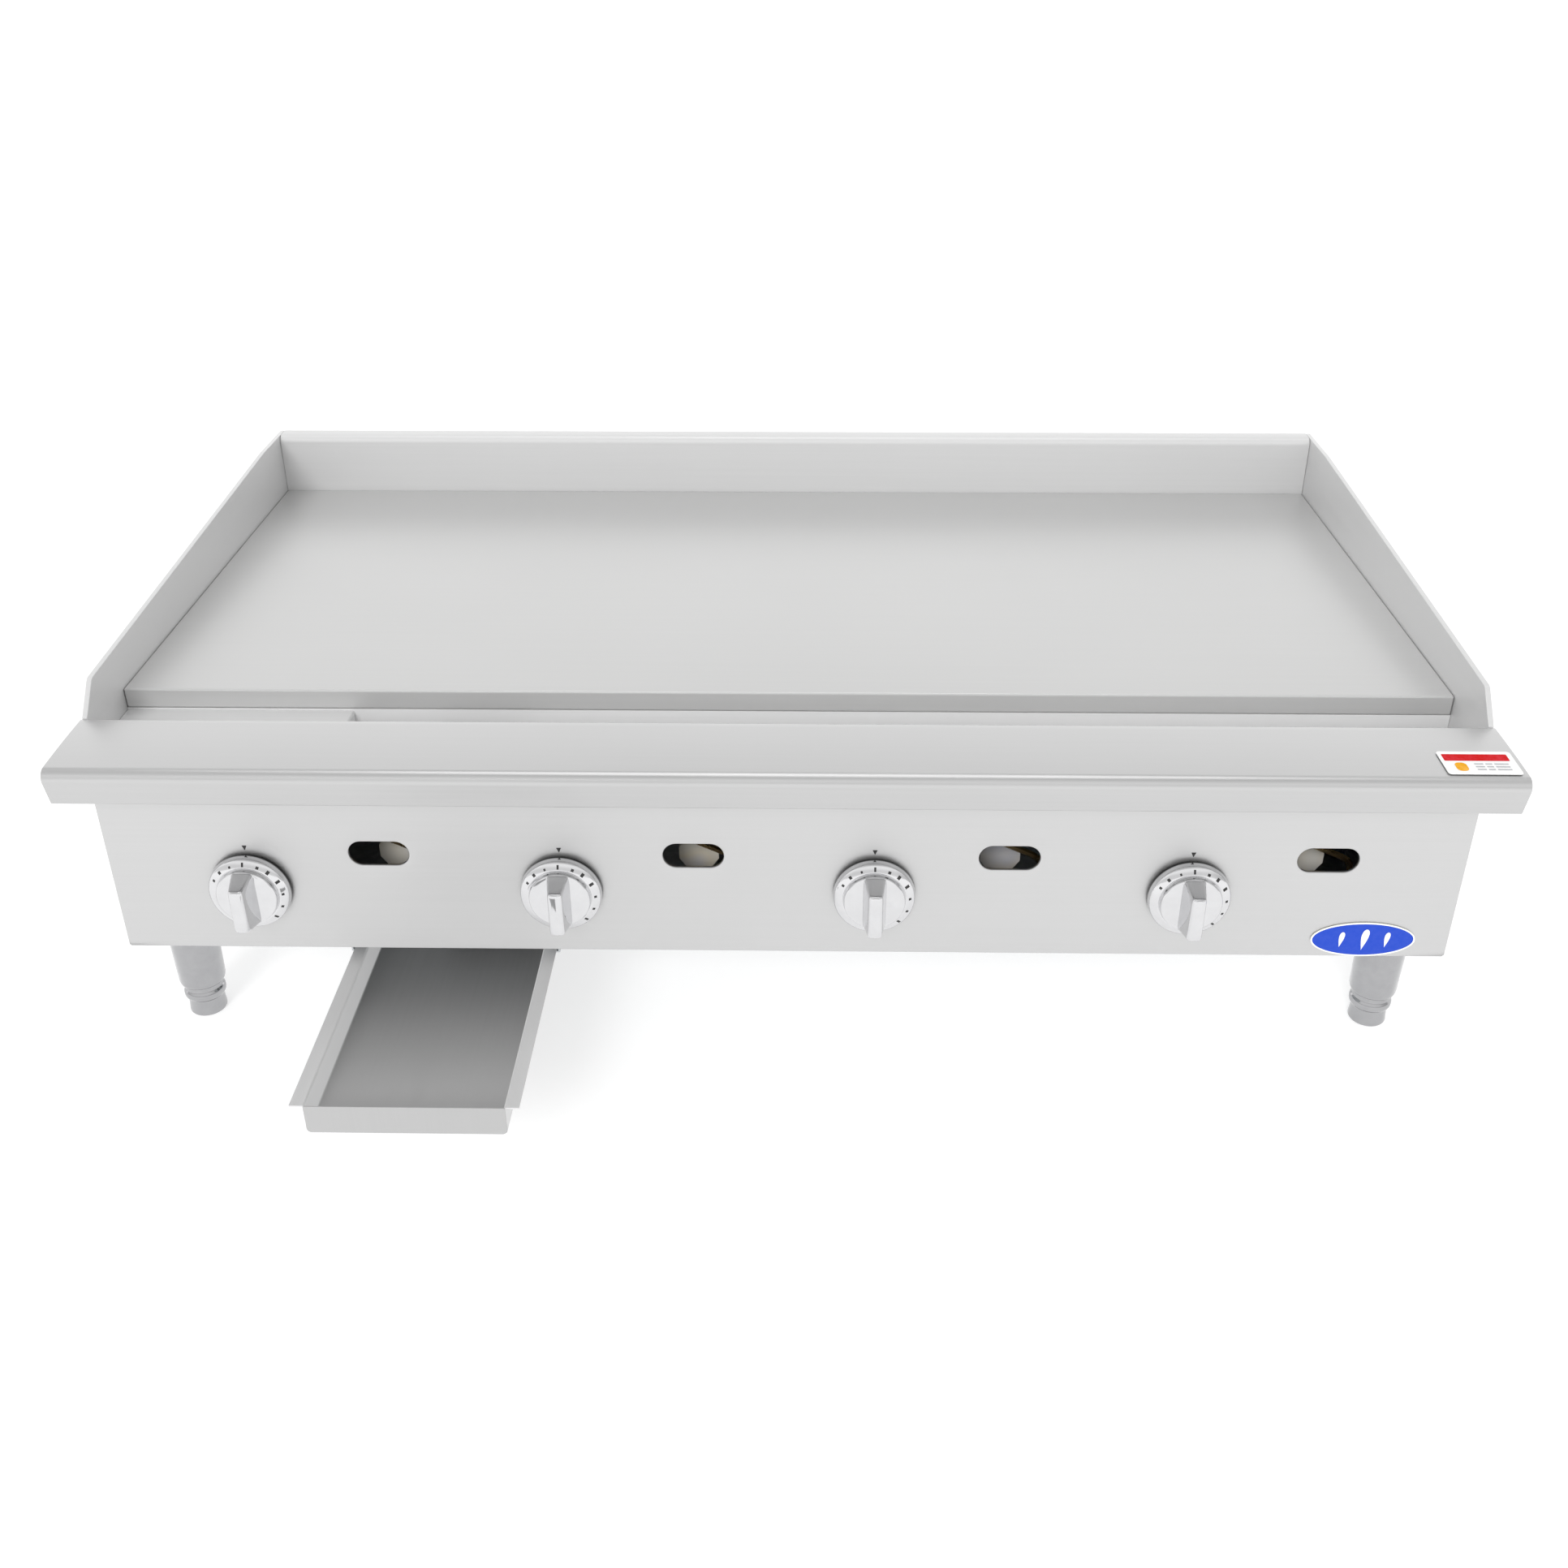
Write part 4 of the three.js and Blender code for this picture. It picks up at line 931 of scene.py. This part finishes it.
rim = [(1.0, 0.0), (0.2, 0.0), (0.0, 0.3), (0.0, 0.9), (0.2, 1.25), (0.6, 1.4), (1.0, 1.3), (1.2, 1.0)]
field = [(1.2, 0.1), (1.2, 0.9), (1.7, 1.05), (5.0, 1.2), (10.0, 1.32), (16.0, 1.38)]
finished_piece("badge_rim", surface("badge_rim", [oval(rim)]), "cabinet", cream, ["badge"])
finished_piece("badge_field", surface("badge_field", [oval(field)]), "cabinet", blue,
               ["badge"])
FLAME_STEPS = 24
flames = []
for shift, tall in ((-20.0, 8.0), (0.0, 11.0), (20.0, 8.0)):
    t = np.linspace(0.0, 2 * math.pi, FLAME_STEPS, endpoint=False)
    # a drop: round at the foot, drawn to a leaning point at the top
    width = 0.42 * tall * np.sin(t) * np.sin(t / 2) ** 1.5
    lift = -tall * np.cos(t)
    flames.append(along_y(np.column_stack([
        badge_x + (shift + width + 0.1 * (lift + tall)) * MM,
        badge_z + lift * MM,
    ]), high.y - 1.5 * MM, high.y - 1.2 * MM))
finished_piece("badge_flames", surface("badge_flames", flames), "cabinet", cream)

# ---- Rail label ----
# A small printed film stuck on the right end of the rail: white, with a red band, a warm patch and a
# few grey rules in place of print.
white_film = enamel("white_film", (0.9, 0.9, 0.89), 0.35, speck=0.01, coat=0.2)
red_ink = enamel("red_ink", (0.62, 0.0, 0.012), 0.6, speck=0.02, shine=0.1)
amber_ink = enamel("amber_ink", (0.85, 0.42, 0.02), 0.6, speck=0.05, shine=0.1)
grey_ink = enamel("grey_ink", (0.45, 0.46, 0.48), 0.45, speck=0.03)
low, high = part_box("rail_label")
FILM, INK = 0.25 * MM, 0.06 * MM


def patch(outline, base, thick):
    """A flat print of a closed (x, y) outline, laid on the crowned rail."""
    loops = [np.column_stack([outline, rail_top(outline[:, 1]) + lift]) for lift in (base, base + thick)]
    return rings(np.stack(loops))


def block(x0, x1, y0, y1, radius):
    """A rectangle with rounded corners, in fractions of the label's length and width, radius in metres."""
    left, right = low.x + x0 * (high.x - low.x), low.x + x1 * (high.x - low.x)
    near, far = low.y + y0 * (high.y - low.y), low.y + y1 * (high.y - low.y)
    return rounded([(left, near), (right, near), (right, far), (left, far)], radius)


finished_piece("label_film", surface("label_film", [patch(block(0, 1, 0, 1, 3 * MM), 0.02 * MM, FILM)]),
               "cabinet", white_film, ["rail_label"])
ink_base = FILM + 0.03 * MM
band = block(0.05, 0.93, 0.58, 0.87, 1 * MM)
finished_piece("label_band", surface("label_band", [patch(band, ink_base, INK)]),
               "cabinet", red_ink)
warm = block(0.15, 0.31, 0.14, 0.5, 4 * MM)
finished_piece("label_patch", surface("label_patch", [patch(warm, ink_base, INK)]),
               "cabinet", amber_ink)
rules = [patch(block(x0, x1, y0, y0 + 0.05, 0.3 * MM), ink_base, INK)
         for y0 in (0.18, 0.3, 0.42) for x0, x1 in ((0.42, 0.54), (0.57, 0.66), (0.69, 0.88))]
finished_piece("label_rules", surface("label_rules", rules), "cabinet", grey_ink)
